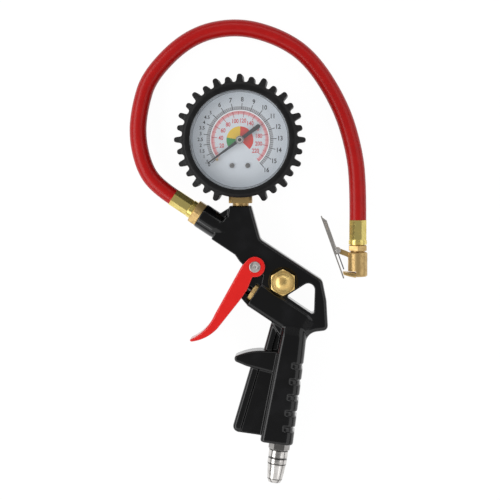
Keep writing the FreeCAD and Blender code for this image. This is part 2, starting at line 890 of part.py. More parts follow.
def grip_section(body, front, back, thickness, height):
    """A cross-section of the grip, square to its axis and at a height above its foot."""
    sketch = standing_sketch(body, grip_point(0, height), -dim.grip_tilt)
    draw_outline(sketch, rounded_box_corners(
        -front, back, thickness / 2, dim.grip_front_round, dim.grip_back_round))
    return sketch


def grip_of_casting(body):
    """The grip: lofted from its foot to the strut, with finger grooves across its back."""
    sections = [
        grip_section(body, dim.grip_foot_front, dim.grip_foot_back, dim.grip_thickness, ZERO),
        grip_section(body, dim.grip_waist_front, dim.grip_waist_back, dim.grip_thickness,
                     dim.grip_waist_height),
        grip_section(body, dim.grip_shoulder_front, dim.grip_shoulder_back,
                     dim.grip_shoulder_thickness, dim.grip_shoulder_height),
        grip_section(body, dim.grip_shoulder_front, dim.grip_shoulder_back,
                     dim.grip_head_thickness, dim.grip_head_height),
    ]
    loft_through(body, sections)
    foot = grip_point(0, 0)
    tilt = math.radians(dim.grip_tilt.value)

    def height_of(place):
        return (place.x - foot[0].value) * math.sin(tilt) + (place.y - foot[1].value) * math.cos(tilt)

    dress(body, "Fillet", lambda place: abs(height_of(place)) < FLUSH, dim.grip_foot_round)
    band = standing_sketch(body, grip_point(0, dim.groove_first), -dim.grip_tilt)
    outside = dim.grip_thickness / 2 + 1
    inside = dim.grip_thickness / 2 - dim.groove_depth
    back = dim.grip_waist_back - dim.groove_depth + dim.slip_gap * 2
    bend = dim.grip_back_round
    draw_outline(band, [
        (dim.groove_reach, -outside), (dim.grip_foot_back + 1, -outside),
        (dim.grip_foot_back + 1, outside), (dim.groove_reach, outside), (dim.groove_reach, inside),
        (back - bend, inside, -bend), (back, inside - bend), (back, bend - inside, -bend),
        (back - bend, -inside), (dim.groove_reach, -inside),
    ])
    groove = extrude(body, "Pocket", band, dim.groove_height)
    doc.recompute()
    pattern = body.newObject("PartDesign::LinearPattern", body.Label + "_grooves")
    pattern.Originals = [groove]
    pattern.Direction = (band, ["N_Axis"])
    pattern.Reversed = True
    bind(pattern, "Length", dim.groove_pitch * (dim.groove_count - 1))
    bind(pattern, "Occurrences", dim.groove_count)
    body.Tip = pattern


def finger_guard(body):
    """The ledge over the fingers, and the thin fin with a rounded bead along its front edge."""
    waist = dim.grip_waist_front - 2
    under = dim.ledge_under_height + 2
    throat = dim.ledge_top_height - 2
    head = dim.grip_length - dim.throat_head_drop
    join(body, [
        ledge_stock(waist),
        bead_stock("fin_bead", (dim.fin_top_reach, under), (dim.fin_foot_reach, dim.fin_foot_height),
                   dim.bead_width, dim.bead_thickness, dim.fin_foot_round),
        bead_stock("throat_bead", (dim.throat_bead_head, head), (dim.throat_bead_foot, throat),
                   dim.throat_bead_width, dim.throat_bead_thickness, None),
    ])
    webs = (
        [(-waist, dim.fin_foot_height), (-waist, dim.ledge_top_height),
         (-dim.fin_top_reach + 2, under), (-dim.fin_foot_reach + dim.fin_foot_round, dim.fin_foot_height)],
        [(-waist, throat), (-waist, dim.grip_length - 1),
         (-dim.throat_bead_head + 2, head), (-dim.throat_bead_foot + 2, throat)],
    )
    for corners in webs:
        web = new_sketch(body)
        draw_outline(web, [grip_point(*corner) for corner in corners])
        extrude(body, "Pad", web, dim.fin_web_thickness, both_ways=True)


def ledge_stock(waist):
    """The ledge with its rounded edges, from its tip to inside the grip."""
    stock = new_body("ledge_stock", (ZERO, ZERO, ZERO))
    blunt = dim.ledge_tip_round
    top = grip_point(-dim.ledge_top_reach, dim.ledge_top_height)
    tip_top = grip_point(dim.ledge_tip_set - dim.ledge_tip_reach, dim.ledge_tip_height + blunt)
    tip_low = grip_point(dim.ledge_lip_set - dim.ledge_tip_reach, dim.ledge_tip_height - blunt)
    sketch = new_sketch(stock)
    draw_outline(sketch, [
        grip_point(-waist, dim.ledge_top_height + dim.ledge_top_rise),
        (top[0], top[1], dim.ledge_top_arc), (tip_top[0], tip_top[1], dim.ledge_tip_arc), tip_low,
        grip_point(-dim.ledge_under_reach, dim.ledge_under_height),
        grip_point(-waist, dim.ledge_root_height),
    ])
    extrude(stock, "Pad", sketch, dim.ledge_width, both_ways=True)
    face = dim.ledge_width.value / 2
    dress(stock, "Fillet", lambda place: abs(abs(place.z) - face) < FLUSH, dim.ledge_edge_round)
    return stock


def bead_stock(label, head, foot, width, thickness, foot_round):
    """A strip down the front of a web, from head to foot (reach, height), with round front edges."""
    stock = new_body(label + "_stock", (ZERO, ZERO, ZERO))
    front_head = grip_point(-head[0], head[1])
    front_foot = grip_point(-foot[0], foot[1])
    sketch = new_sketch(stock)
    draw_outline(sketch, [front_head, front_foot, grip_point(width - foot[0], foot[1]),
                          grip_point(width - head[0], head[1])])
    extrude(stock, "Pad", sketch, thickness, both_ways=True)
    if foot_round is not None:
        dress(stock, "Fillet", lambda place: near(place, front_foot), foot_round)
    face = thickness.value / 2
    slope = FreeCAD.Vector(front_head[0].value - front_foot[0].value,
                           front_head[1].value - front_foot[1].value, 0).normalize()

    def front_edge(place):
        away = FreeCAD.Vector(place.x - front_foot[0].value, place.y - front_foot[1].value, 0)
        on_line = abs(away.x * slope.y - away.y * slope.x) < FLUSH
        low = foot_round is not None and near(place, front_foot, foot_round.value * 2)
        return abs(abs(place.z) - face) < FLUSH and (on_line or low)

    dress(stock, "Fillet", front_edge, dim.bead_round)
    return stock


def ports_of_casting(body):
    """Threaded ports and the air passages that join them."""
    thread = dim.port_thread_diameter / 2
    passage = dim.passage_diameter / 2
    drill_beam(body, stepped_profile(
        [-dim.hose_boss_face - 1, -dim.hose_boss_face + dim.hose_port_depth, dim.cap_station],
        [thread, passage]))
    turned(body, "Groove", stepped_profile(
        [ZERO, dim.gauge_boss_height - dim.gauge_port_depth, dim.gauge_boss_height + 1],
        [passage, thread]), (0, 0, 0), as_size(90))
    seat_front = dim.valve_seat_station - dim.valve_seat_thickness
    drill_beam(body, stepped_profile(
        [dim.valve_face - 1, dim.valve_face + dim.valve_thread_depth, seat_front,
         dim.valve_seat_station, dim.inlet_chamber_end],
        [dim.valve_thread_diameter / 2, dim.outlet_chamber_diameter / 2, dim.valve_seat_diameter / 2,
         dim.inlet_chamber_diameter / 2]), -dim.valve_offset)
    foot = grip_point(0, 0)
    turned(body, "Groove", stepped_profile(
        [as_size(-1), dim.plug_port_depth, dim.grip_length],
        [dim.plug_thread_diameter / 2, dim.inlet_passage_diameter / 2]),
        (foot[0], foot[1], 0), 90 - dim.grip_tilt)
    cross = beam_point(dim.cap_station, -dim.valve_offset)
    turned(body, "Groove", stepped_profile([ZERO, dim.valve_offset], [dim.cross_passage_diameter / 2]),
           (cross[0], cross[1], 0), 90 - dim.beam_angle)
    cap = beam_point(dim.cap_station, -dim.cap_offset)
    face = dim.frame_thickness / 2
    spot = new_sketch(body, "XY_Plane", (0, 0, face - dim.cap_spotface_depth))
    draw_circle(spot, cap[0], cap[1], dim.cap_spotface_diameter / 2)
    extrude(body, "Pocket", spot, dim.cap_spotface_reach, backwards=True)
    port = new_sketch(body, "XY_Plane", (0, 0, face))
    draw_circle(port, cap[0], cap[1], dim.cap_thread_diameter / 2)
    extrude(body, "Pocket", port, face + dim.cap_port_floor)
    pin = new_sketch(body, "XY_Plane")
    lobe = beam_point(dim.pivot_station, -dim.pivot_offset)
    draw_circle(pin, lobe[0], lobe[1], dim.pin_diameter / 2 + dim.slip_gap)
    extrude(body, "Pocket", pin, dim.frame_thickness + 2, both_ways=True)


# Valve in the casting's strut, its cap nut and the plug

def valve_place():
    """Where the axis of the valve meets station zero of the beam."""
    return row_place(beam_point(0, -dim.valve_offset))


def chamfer_hexagon(body, role, shift, across, angle=None):
    """Turns the sharp corners off a hexagon's end that faces along the line of stations."""
    slope = 180 / HEXAGON
    corner = across / 2 / cosine(slope)
    flat = across / 2 * CHAMFER_SHARE
    rise = (corner + 1 - flat) * sine(slope) / cosine(slope)
    sketch = new_sketch(body, role, angle=angle)
    axis = "H_Axis" if role == "XY_Plane" else "V_Axis"
    profile = [(shift, flat), (shift, corner + 1), (shift - rise, corner + 1)]
    if axis == "V_Axis":
        profile = [(radius, station) for station, radius in profile]
    draw_outline(sketch, profile)
    return turn_about(body, "Groove", sketch, axis)


def valve_bushing():
    """Hexagon-headed bushing that guides the stem."""
    body = new_body("valve_bushing", valve_place(), -dim.beam_angle)
    head = dim.valve_face - dim.bushing_head_thickness
    end = dim.valve_face + dim.bushing_thread_length
    turned(body, "Revolution", stepped_profile(
        [head, end], [dim.valve_thread_diameter / 2 - dim.slip_gap]))
    hexagon = new_sketch(body, "YZ_Plane", (0, 0, head))
    draw_outline(hexagon, polygon_corners(HEXAGON, dim.bushing_hex, 180 / HEXAGON))
    extrude(body, "Pad", hexagon, dim.bushing_head_thickness)
    turned(body, "Groove", stepped_profile(
        [head - 1, end - dim.seal_ring_recess, end + 1],
        [dim.stem_diameter / 2 + dim.slip_gap, dim.seal_ring_diameter / 2 + dim.seat_gap]))
    return body


def valve_stem():
    """Stem that the trigger pushes; its front end is domed."""
    body = new_body("valve_stem", valve_place(), -dim.beam_angle)
    radius = dim.stem_diameter / 2
    turned(body, "Revolution", [
        (dim.stem_front, ZERO), (dim.stem_front, radius - dim.stem_dome),
        (dim.stem_front + dim.stem_dome, radius),
        (dim.valve_seat_station + dim.poppet_thickness / 2, radius),
        (dim.valve_seat_station + dim.poppet_thickness / 2, ZERO)])
    return body


def stem_seal_ring():
    """Seal ring round the stem in the bushing's inner end."""
    body = new_body("stem_seal_ring", valve_place(), -dim.beam_angle)
    sketch = new_sketch(body)
    station = dim.valve_face + dim.bushing_thread_length - dim.seal_ring_recess / 2
    draw_circle(sketch, station, dim.stem_diameter / 2 + dim.slip_gap + dim.seal_ring_thickness / 2,
                dim.seal_ring_thickness / 2)
    turn_about(body, "Revolution", sketch, "H_Axis")
    return body


def valve_poppet():
    """Poppet that closes the seat and carries the spring."""
    body = new_body("valve_poppet", valve_place(), -dim.beam_angle)
    face = dim.valve_seat_station + dim.slip_gap
    back = face + dim.poppet_thickness
    turned(body, "Revolution", stepped_profile(
        [face, back, back + dim.poppet_back_length],
        [dim.poppet_diameter / 2, dim.poppet_back_diameter / 2]))
    turned(body, "Groove", stepped_profile(
        [face - 1, dim.valve_seat_station + dim.poppet_thickness / 2], [dim.stem_diameter / 2]))
    return body


def valve_spring():
    """Coil spring behind the poppet."""
    body = new_body("valve_spring", valve_place(), -dim.beam_angle)
    sketch = new_sketch(body)
    wire = dim.spring_wire / 2
    start = dim.valve_seat_station + dim.slip_gap + dim.poppet_thickness + dim.slip_gap + wire
    length = dim.inlet_chamber_end - dim.slip_gap - wire - start
    draw_circle(sketch, start, dim.spring_diameter / 2 - wire, wire)
    helix = body.newObject("PartDesign::AdditiveHelix", "valve_spring_helix")
    helix.Profile = sketch
    helix.ReferenceAxis = (sketch, ["H_Axis"])
    helix.Mode = 2
    bind(helix, "Height", length)
    bind(helix, "Turns", dim.spring_turns)
    sketch.Visibility = False
    return body


def cap_place():
    """Foot of the spotface under the cap nut."""
    height = dim.rest_height + dim.frame_thickness / 2 - dim.cap_spotface_depth
    return row_place(beam_point(dim.cap_station, -dim.cap_offset), height)


def cap_nut():
    """Domed brass nut that closes the cross port."""
    body = new_body("cap_nut", cap_place())
    seat = dim.cap_washer_thickness
    top = seat + dim.cap_hex_thickness
    collar = top + dim.cap_collar_height
    low = seat - dim.cap_spigot_length
    radius, height = dim.cap_dome_radius, dim.cap_dome_height
    ball = (radius * radius + height * height) / (2 * height)
    bore = dim.cap_spigot_bore / 2
    spigot = dim.cap_thread_diameter / 2 - dim.slip_gap
    hexagon = new_sketch(body, "XY_Plane", (0, 0, seat))
    draw_outline(hexagon, polygon_corners(HEXAGON, dim.cap_hex, 90))
    extrude(body, "Pad", hexagon, dim.cap_hex_thickness)
    chamfer_hexagon(body, "XZ_Plane", top, dim.cap_hex)
    stacked(body, "Revolution", [
        (bore, low), (spigot, low), (spigot, seat), (radius + dim.cap_chamfer, seat),
        (radius + dim.cap_chamfer, collar), (radius, collar, ball), (ZERO, collar + height),
        (ZERO, ZERO), (bore, ZERO)])
    return body


def cap_nut_washer():
    """Sealing washer under the cap nut."""
    body = new_body("cap_nut_washer", cap_place())
    stacked(body, "Revolution", ring_corners(
        dim.cap_thread_diameter / 2, dim.cap_washer_diameter / 2, ZERO, dim.cap_washer_thickness))
    return body


def ring_corners(inner, outer, low, high):
    """Profile of a ring about Z."""
    return [(inner, low), (outer, low), (outer, high), (inner, high)]


def air_plug():
    """Quick-connect plug screwed into the foot of the grip."""
    body = new_body("air_plug", row_place(grip_point(0, 0)), -90 - dim.grip_tilt)
    thread = dim.plug_thread_diameter / 2 - dim.slip_gap
    turned(body, "Revolution", [
        (-dim.plug_spigot_length, ZERO), (-dim.plug_spigot_length, thread), (ZERO, thread),
        (ZERO, dim.plug_neck_radius), (dim.plug_neck_end, dim.plug_neck_radius),
        (dim.plug_neck_end, dim.plug_land_radius), (dim.plug_land_end, dim.plug_land_radius),
        (dim.plug_land_end, dim.plug_groove_radius), (dim.plug_groove_end, dim.plug_groove_radius),
        (dim.plug_groove_end, dim.plug_land_radius), (dim.plug_bead_end, dim.plug_land_radius),
        (dim.plug_nose_start, dim.plug_nose_radius), (dim.plug_nose_end, dim.plug_nose_end_radius),
        (dim.plug_length, dim.plug_mouth_radius), (dim.plug_length, ZERO)])
    hexagon = new_sketch(body, "YZ_Plane", (0, 0, 0))
    draw_outline(hexagon, polygon_corners(HEXAGON, dim.plug_hex, 0))
    extrude(body, "Pad", hexagon, dim.plug_hex_thickness)
    turned(body, "Groove", stepped_profile(
        [-dim.plug_spigot_length - 1, dim.plug_length + 1], [dim.plug_bore / 2]))
    return body


# Trigger and its pin

def pivot_place():
    """Centre of the trigger's pin on the casting's middle plane."""
    return row_place(beam_point(dim.pivot_station, -dim.pivot_offset))


def trigger():
    """Cast channel: two flanges with eyes for the pin and a web down the front to a thin toe."""
    body = new_body("trigger", pivot_place())
    eye = dim.trigger_eye_radius
    top = (-dim.trigger_top_x, dim.trigger_top_y)
    bend = (-dim.trigger_bend_front_x, -dim.trigger_bend_front_y)
    tip = (-dim.trigger_tip_x, -dim.trigger_tip_y)
    thin = dim.trigger_tip_thickness
    tip_back = (tip[0] + thin * sine(45), tip[1] - thin * cosine(45))
    back = (-dim.trigger_bend_back_x, -dim.trigger_bend_back_y)
    low = (eye * cosine(dim.trigger_eye_start), eye * sine(dim.trigger_eye_start))
    high = (eye * cosine(dim.trigger_eye_end), eye * sine(dim.trigger_eye_end))
    half = dim.trigger_inner_width / 2
    side = new_sketch(body)
    draw_outline(side, [
        top, (bend[0], bend[1], -dim.trigger_front_arc), tip,
        (tip_back[0], tip_back[1], dim.trigger_back_arc), back,
        (-dim.trigger_waist_x, -dim.trigger_waist_y), (-dim.trigger_heel_x, -dim.trigger_heel_y),
        (low[0], low[1], eye), (eye, ZERO, eye), high])
    extrude(body, "Pad", side, dim.trigger_inner_width + dim.trigger_wall * 2, both_ways=True)
    face = half.value + dim.trigger_wall.value
    run = FreeCAD.Vector(bend[0].value - top[0].value, bend[1].value - top[1].value, 0).normalize()

    def front_edge(place):
        behind = (place.y - top[1].value) * run.x - (place.x - top[0].value) * run.y
        return abs(abs(place.z) - face) < FLUSH and behind < NEAR and place.y > tip[1].value - NEAR

    dress(body, "Fillet", front_edge, dim.trigger_edge_round)
    inner_top = (top[0] - dim.trigger_web * run_y(top, bend), top[1] + dim.trigger_web * run_x(top, bend))
    inner_bend = (bend[0] - dim.trigger_web * run_y(top, bend), bend[1] + dim.trigger_web * run_x(top, bend))
    web_top = top[1] - dim.trigger_web_drop
    lean = (top[0] - bend[0]) / (top[1] - bend[1])
    low_back = back[1] - dim.trigger_toe_cut
    hollow = new_sketch(body)
    draw_outline(hollow, [
        (-eye * 2, web_top), (inner_top[0] + (web_top - inner_top[1]) * lean, web_top), inner_bend,
        (back[0] - 1, low_back), (eye * 2, low_back), (eye * 2, eye + 1), (-eye * 2, eye + 1)])
    extrude(body, "Pocket", hollow, dim.trigger_inner_width, both_ways=True)
    clearing = new_sketch(body)
    draw_circle(clearing, 0, 0, dim.pivot_lobe_radius + dim.trigger_lobe_gap)
    extrude(body, "Pocket", clearing, dim.trigger_inner_width, both_ways=True)
    hole = new_sketch(body)
    draw_circle(hole, 0, 0, dim.pin_diameter / 2 + dim.slip_gap)
    extrude(body, "Pocket", hole, dim.trigger_inner_width + dim.trigger_wall * 2 + 2, both_ways=True)
    for side_height, backwards in ((half + dim.trigger_wall, False), (-half - dim.trigger_wall, True)):
        recess = new_sketch(body, "XY_Plane", (0, 0, side_height))
        draw_circle(recess, 0, 0, dim.pin_head_diameter / 2 + dim.slip_gap)
        extrude(body, "Pocket", recess, dim.pin_head_recess, backwards=backwards)
    return body


def run_x(start, end):
    """Share of X in the direction from one corner to another."""
    across, rise = end[0] - start[0], end[1] - start[1]
    return across / square_root(across * across + rise * rise)


def run_y(start, end):
    """Share of Y in the direction from one corner to another."""
    across, rise = end[0] - start[0], end[1] - start[1]
    return rise / square_root(across * across + rise * rise)


def pin_seat():
    """Height of the pin heads' inner faces off the middle plane."""
    return dim.trigger_inner_width / 2 + dim.trigger_wall - dim.pin_head_recess


def pivot_barrel():
    """Headed barrel that the trigger turns on."""
    body = new_body("pivot_barrel", pivot_place())
    seat, head, radius = pin_seat(), dim.pin_head_diameter / 2, dim.pin_diameter / 2
    bore, floor = dim.pin_screw_diameter / 2, pin_seat() - dim.pin_screw_length
    stacked(body, "Revolution", [
        (ZERO, -seat - dim.pin_head_thickness), (head, -seat - dim.pin_head_thickness), (head, -seat),
        (radius, -seat), (radius, seat), (bore, seat), (bore, floor), (ZERO, floor)])
    return body


def pivot_screw():
    """Socket screw that closes the barrel."""
    body = new_body("pivot_screw", pivot_place())
    seat, head = pin_seat(), dim.pin_head_diameter / 2
    shank = dim.pin_screw_diameter / 2 - dim.slip_gap
    end = seat - dim.pin_screw_length + dim.seat_gap
    stacked(body, "Revolution", [
        (ZERO, end), (shank, end), (shank, seat), (head, seat), (head, seat + dim.pin_head_thickness),
        (ZERO, seat + dim.pin_head_thickness)])
    socket = new_sketch(body, "XY_Plane", (0, 0, seat + dim.pin_head_thickness))
    draw_outline(socket, polygon_corners(HEXAGON, dim.pin_socket_diameter, 0))
    extrude(body, "Pocket", socket, dim.pin_socket_depth)
    return body


# Gauge: rubber boot, case, dial and works

def gauge_height():
    """Distance from the datum up to the middle of the gauge."""
    return dim.gauge_stand + dim.case_radius


def boot_radius():
    """Radius of the boot at the foot of its teeth."""
    return dim.case_radius + dim.boot_wall


def tube_radius():
    """Radius of the bourdon tube's middle line."""
    return dim.case_radius - dim.tube_inset


def gauge_place():
    """Axis of the gauge where it meets the table."""
    return row_place((ZERO, gauge_height()), ZERO)


def side_port(body, half_width, half_height):
    """Opening in a wall of the gauge for the socket's square block."""
    sketch = new_sketch(body, "XZ_Plane")
    draw_outline(sketch, box_corners(
        -half_width, half_width, dim.rest_height - half_height, dim.rest_height + half_height))
    extrude(body, "Pocket", sketch, boot_radius() + dim.tooth_length, backwards=True)


def row_of_teeth(body, reach, first, count, turn, centre):
    """Blocky teeth of one length, at every turn of so many degrees round the boot."""
    root, tip, corner = dim.tooth_root_width / 2, dim.tooth_tip_width / 2, dim.tooth_corner
    foot = boot_radius() - 1
    sketch = new_sketch(body, "XY_Plane", (0, 0, dim.tooth_back), first)
    draw_outline(sketch, [
        (foot, -root), (reach - corner, -tip), (reach, corner - tip), (reach, tip - corner),
        (reach - corner, tip), (foot, root)])
    tooth = extrude(body, "Pad", sketch, dim.tooth_front - dim.tooth_back)
    doc.recompute()
    polar_pattern(body, [tooth], count, turn * (count - 1), centre)


def gauge_boot():
    """Rubber boot: a cup with lips at the back and front, and long and short teeth in turn round it."""
    body = new_body("gauge_boot", gauge_place())
    top, outer, inner = dim.boot_thickness, boot_radius(), dim.case_radius + dim.seat_gap
    front_lip = dim.case_radius - dim.boot_front_lip_width
    back_lip = dim.case_radius - dim.boot_back_lip_width
    reach = outer + dim.tooth_length
    bevel = dim.boot_front_chamfer
    stacked(body, "Revolution", [
        (back_lip, ZERO), (outer - bevel / 2, ZERO), (outer, bevel / 2), (outer, top - bevel),
        (outer - bevel, top), (front_lip, top), (front_lip, top - dim.boot_front_lip),
        (inner, top - dim.boot_front_lip), (inner, dim.boot_back_lip), (back_lip, dim.boot_back_lip)])
    pitch = 360 / dim.tooth_places
    first = -90 + pitch * (dim.tooth_places - dim.long_tooth_count * 2 + 2) / 2
    centre = new_sketch(body)
    draw_circle(centre, 0, 0, 1)
    centre.Visibility = False
    row_of_teeth(body, reach, first, dim.long_tooth_count, pitch * 2, centre)
    row_of_teeth(body, reach - dim.tooth_step, first + pitch, dim.long_tooth_count - 1, pitch * 2, centre)
    slope = dim.tooth_slope
    stacked(body, "Groove", [
        (outer + 1, dim.tooth_front), (reach + 1, dim.tooth_front - slope),
        (reach + 1, dim.tooth_front + 1), (outer + 1, dim.tooth_front + 1)])
    side_port(body, dim.boot_notch_width / 2, dim.boot_notch_width / 2)
    return body


def gauge_case():
    """Steel cup that holds the works."""
    body = new_body("gauge_case", gauge_place())
    outer, wall = dim.case_radius, dim.case_wall
    stacked(body, "Revolution", [
        (ZERO, dim.case_back), (outer, dim.case_back), (outer, dim.case_front),
        (outer - wall, dim.case_front), (outer - wall, dim.case_back + wall), (ZERO, dim.case_back + wall)])
    side_port(body, dim.socket_square / 2 + dim.slip_gap, dim.socket_square / 2 + dim.slip_gap)
    return body


def dial_spacer():
    """Ring between the dial and the lens."""
    body = new_body("dial_spacer", gauge_place())
    radius = dim.case_radius - dim.case_wall - dim.lens_gap
    stacked(body, "Revolution", ring_corners(
        radius - dim.spacer_width, radius, dim.spacer_back, dim.lens_back))
    return body


def gauge_lens():
    """Clear lens over the dial."""
    body = new_body("gauge_lens", gauge_place())
    radius = dim.case_radius - dim.case_wall - dim.lens_gap
    stacked(body, "Revolution", [
        (ZERO, dim.lens_back), (radius, dim.lens_back), (radius, dim.lens_back + dim.lens_thickness),
        (ZERO, dim.lens_back + dim.lens_thickness)])
    return body


def dial_plate():
    """Printed dial: a thin plate on the works."""
    body = new_body("dial_plate", gauge_place())
    sketch = new_sketch(body, "XY_Plane", (0, 0, dim.spacer_back - dim.dial_thickness))
    draw_circle(sketch, 0, 0, dim.case_radius - dim.case_wall - dim.lens_gap)
    draw_circle(sketch, 0, 0, dim.dial_hole_radius)
    for side in (-1, 1):
        draw_circle(sketch, dim.dial_screw_spread / 2 * side, -dim.dial_screw_drop,
                    dim.dial_screw_shank_radius + dim.slip_gap)
    draw_circle(sketch, -dim.stop_pin_x, -dim.stop_pin_y, dim.stop_pin_radius)
    extrude(body, "Pad", sketch, dim.dial_thickness)
    return body


def dial_screw(label, side):
    """Slotted screw that holds the dial to the works."""
    place = row_place((dim.dial_screw_spread / 2 * side, gauge_height() - dim.dial_screw_drop),
                      dim.spacer_back)
    body = new_body(label, place)
    head, shank = dim.dial_screw_head_radius, dim.dial_screw_shank_radius
    stacked(body, "Revolution", [
        (ZERO, -dim.dial_screw_length), (shank, -dim.dial_screw_length), (shank, ZERO), (head, ZERO),
        (head, dim.dial_screw_head_height), (ZERO, dim.dial_screw_head_height)])
    slot = new_sketch(body, "XY_Plane", (0, 0, dim.dial_screw_head_height))
    draw_outline(slot, box_corners(-head - 1, head + 1, -dim.dial_screw_slot / 2, dim.dial_screw_slot / 2))
    extrude(body, "Pocket", slot, dim.dial_screw_head_height / 2)
    return body


def pointer_stop_pin():
    """Pin that the pointer rests against."""
    place = row_place((-dim.stop_pin_x, gauge_height() - dim.stop_pin_y),
                      dim.spacer_back - dim.dial_thickness)
    body = new_body("pointer_stop_pin", place)
    sketch = new_sketch(body)
    draw_circle(sketch, 0, 0, dim.stop_pin_radius)
    extrude(body, "Pad", sketch, dim.stop_pin_height + dim.dial_thickness)
    return body


def works_back():
    """Height of the rear face of the works."""
    return dim.spacer_back - dim.dial_thickness - dim.works_plate * 2 - dim.works_gap


def gauge_socket():
    """Brass socket: threaded neck, square block through the boot and the block inside the case."""
    body = new_body("gauge_socket", row_place((ZERO, ZERO)))
    foot, block_end = dim.socket_foot, dim.socket_foot + dim.socket_block_length
    thread_start = dim.gauge_boss_height - dim.gauge_port_depth + 1
    turned(body, "Revolution", stepped_profile(
        [thread_start, dim.gauge_boss_height, foot],
        [dim.port_thread_diameter / 2 - dim.slip_gap, dim.socket_neck_diameter / 2]), angle=as_size(90))
    half, bevel = dim.socket_square / 2, dim.socket_bevel
    square = new_sketch(body, "XZ_Plane", (0, 0, -foot))
    draw_outline(square, [
        (bevel - half, -half), (half - bevel, -half), (half, bevel - half), (half, half - bevel),
        (half - bevel, half), (bevel - half, half), (-half, half - bevel), (-half, bevel - half)])
    extrude(body, "Pad", square, dim.socket_block_length, backwards=True)
    block = new_sketch(body, "XZ_Plane", (0, 0, -block_end))
    draw_outline(block, box_corners(
        -dim.socket_inner_width / 2, dim.socket_inner_width / 2, dim.socket_inner_back - dim.rest_height,
        works_back() - dim.rest_height))
    extrude(body, "Pad", block, dim.socket_inner_length, backwards=True)
    tube_rise = gauge_height() - tube_radius() * cosine(dim.tube_start)
    turned(body, "Groove", stepped_profile(
        [thread_start - 1, tube_rise + dim.socket_bore], [dim.socket_bore / 2]), angle=as_size(90))
    turned(body, "Groove", stepped_profile([ZERO, dim.socket_inner_width], [dim.socket_bore / 2]),
           (0, tube_rise, 0))
    return body


def bourdon_tube():
    """Flat bronze tube bent round the works, open to the socket at one end and closed at the other."""
    body = new_body("bourdon_tube", gauge_place(), dim.tube_start - 90)
    for kind, wall, sweep in (("Revolution", ZERO, dim.tube_sweep),
                              ("Groove", dim.tube_wall, dim.tube_sweep - dim.tube_end_plug)):
        section = new_sketch(body, "XZ_Plane")
        draw_outline(section, box_corners(
            tube_radius() - dim.tube_thickness / 2 + wall, tube_radius() + dim.tube_thickness / 2 - wall,
            dim.rest_height - dim.tube_width / 2 + wall, dim.rest_height + dim.tube_width / 2 - wall))
        bent = turn_about(body, kind, section, "V_Axis")
        bind(bent, "Angle", sweep)
    return body


def movement_frame():
    """Two brass plates on pillars that carry the pointer's spindle and the dial."""
    body = new_body("movement_frame", gauge_place())
    back, plate = works_back(), dim.works_plate
    front = back + plate + dim.works_gap
    for height in (back, front):
        sketch = new_sketch(body, "XY_Plane", (0, 0, height))
        draw_outline(sketch, box_corners(
            -dim.works_width / 2, dim.works_width / 2, -dim.works_foot, dim.works_rise))
        extrude(body, "Pad", sketch, plate)
        if height is back:
            for side in (-1, 1):
                pillar = new_sketch(body, "XY_Plane", (0, 0, back))
                draw_circle(pillar, dim.dial_screw_spread / 2 * side, -dim.dial_screw_drop,
                            dim.pillar_radius)
                extrude(body, "Pad", pillar, plate + dim.works_gap + plate)
    for side in (-1, 1):
        tapped = new_sketch(body, "XY_Plane", (0, 0, front + plate))
        draw_circle(tapped, dim.dial_screw_spread / 2 * side, -dim.dial_screw_drop,
                    dim.dial_screw_shank_radius + dim.slip_gap)
        extrude(body, "Pocket", tapped, dim.works_gap + plate)
    bearing = new_sketch(body, "XY_Plane", (0, 0, front + plate))
    draw_circle(bearing, 0, 0, dim.spindle_radius + dim.slip_gap)
    extrude(body, "Pocket", bearing, dim.works_gap + plate * 2 + 1)
    return body


def pointer_spindle():
    """Spindle with its pinion."""
    body = new_body("pointer_spindle", gauge_place())
    back, radius = works_back() + dim.works_plate, dim.spindle_radius
    low, high = back + dim.pinion_rise, back + dim.pinion_rise + dim.pinion_length
    stacked(body, "Revolution", [
        (ZERO, dim.spindle_back), (radius, dim.spindle_back), (radius, low), (dim.pinion_radius, low),
        (dim.pinion_radius, high), (radius, high), (radius, dim.spindle_front), (ZERO, dim.spindle_front)])
    gap = new_sketch(body, "XY_Plane", (0, 0, high + dim.slip_gap))
    inner, half = dim.pinion_radius - dim.pinion_tooth_width, dim.pinion_tooth_width / 2
    draw_outline(gap, box_corners(inner, dim.pinion_radius + 1, -half, half))
    cut = extrude(body, "Pocket", gap, dim.pinion_length + dim.slip_gap * 2)
    doc.recompute()
    polar_pattern(body, [cut], dim.pinion_teeth, 360, gap)
    return body


def pointer():
    """Pointer: a tapered blade with a round-ended tail."""
    body = new_body("pointer", (*gauge_place()[:2], dim.pointer_height), dim.pointer_rest_angle)
    tip, root = dim.pointer_tip_width / 2, dim.pointer_root_width / 2
    tail = dim.pointer_tail_width / 2
    blade = new_sketch(body)
    draw_outline(blade, [
        (dim.pointer_tip_length, -tip), (dim.pointer_tip_length, tip), (ZERO, root),
        (tail - dim.pointer_tail_length, tail, tail * ROUND_END), (tail - dim.pointer_tail_length, -tail),
        (ZERO, -root)])
    extrude(body, "Pad", blade, dim.pointer_thickness)
    hub = new_sketch(body)
    draw_circle(hub, 0, 0, dim.pointer_hub_radius)
    extrude(body, "Pad", hub, dim.pointer_thickness)
    hole = new_sketch(body)
    draw_circle(hole, 0, 0, dim.spindle_radius)
    extrude(body, "Pocket", hole, dim.pointer_thickness + 1, backwards=True)
    return body


def pointer_cap():
    """Bright cap over the end of the spindle."""
    body = new_body("pointer_cap", (*gauge_place()[:2], dim.pointer_height + dim.pointer_thickness))
    radius, height = dim.pointer_hub_radius, dim.pointer_cap_height
    stacked(body, "Revolution", [
        (ZERO, ZERO), (radius, ZERO), (radius, height / 2), (radius - height / 2, height), (ZERO, height)])
    return body


# Hose and its fittings

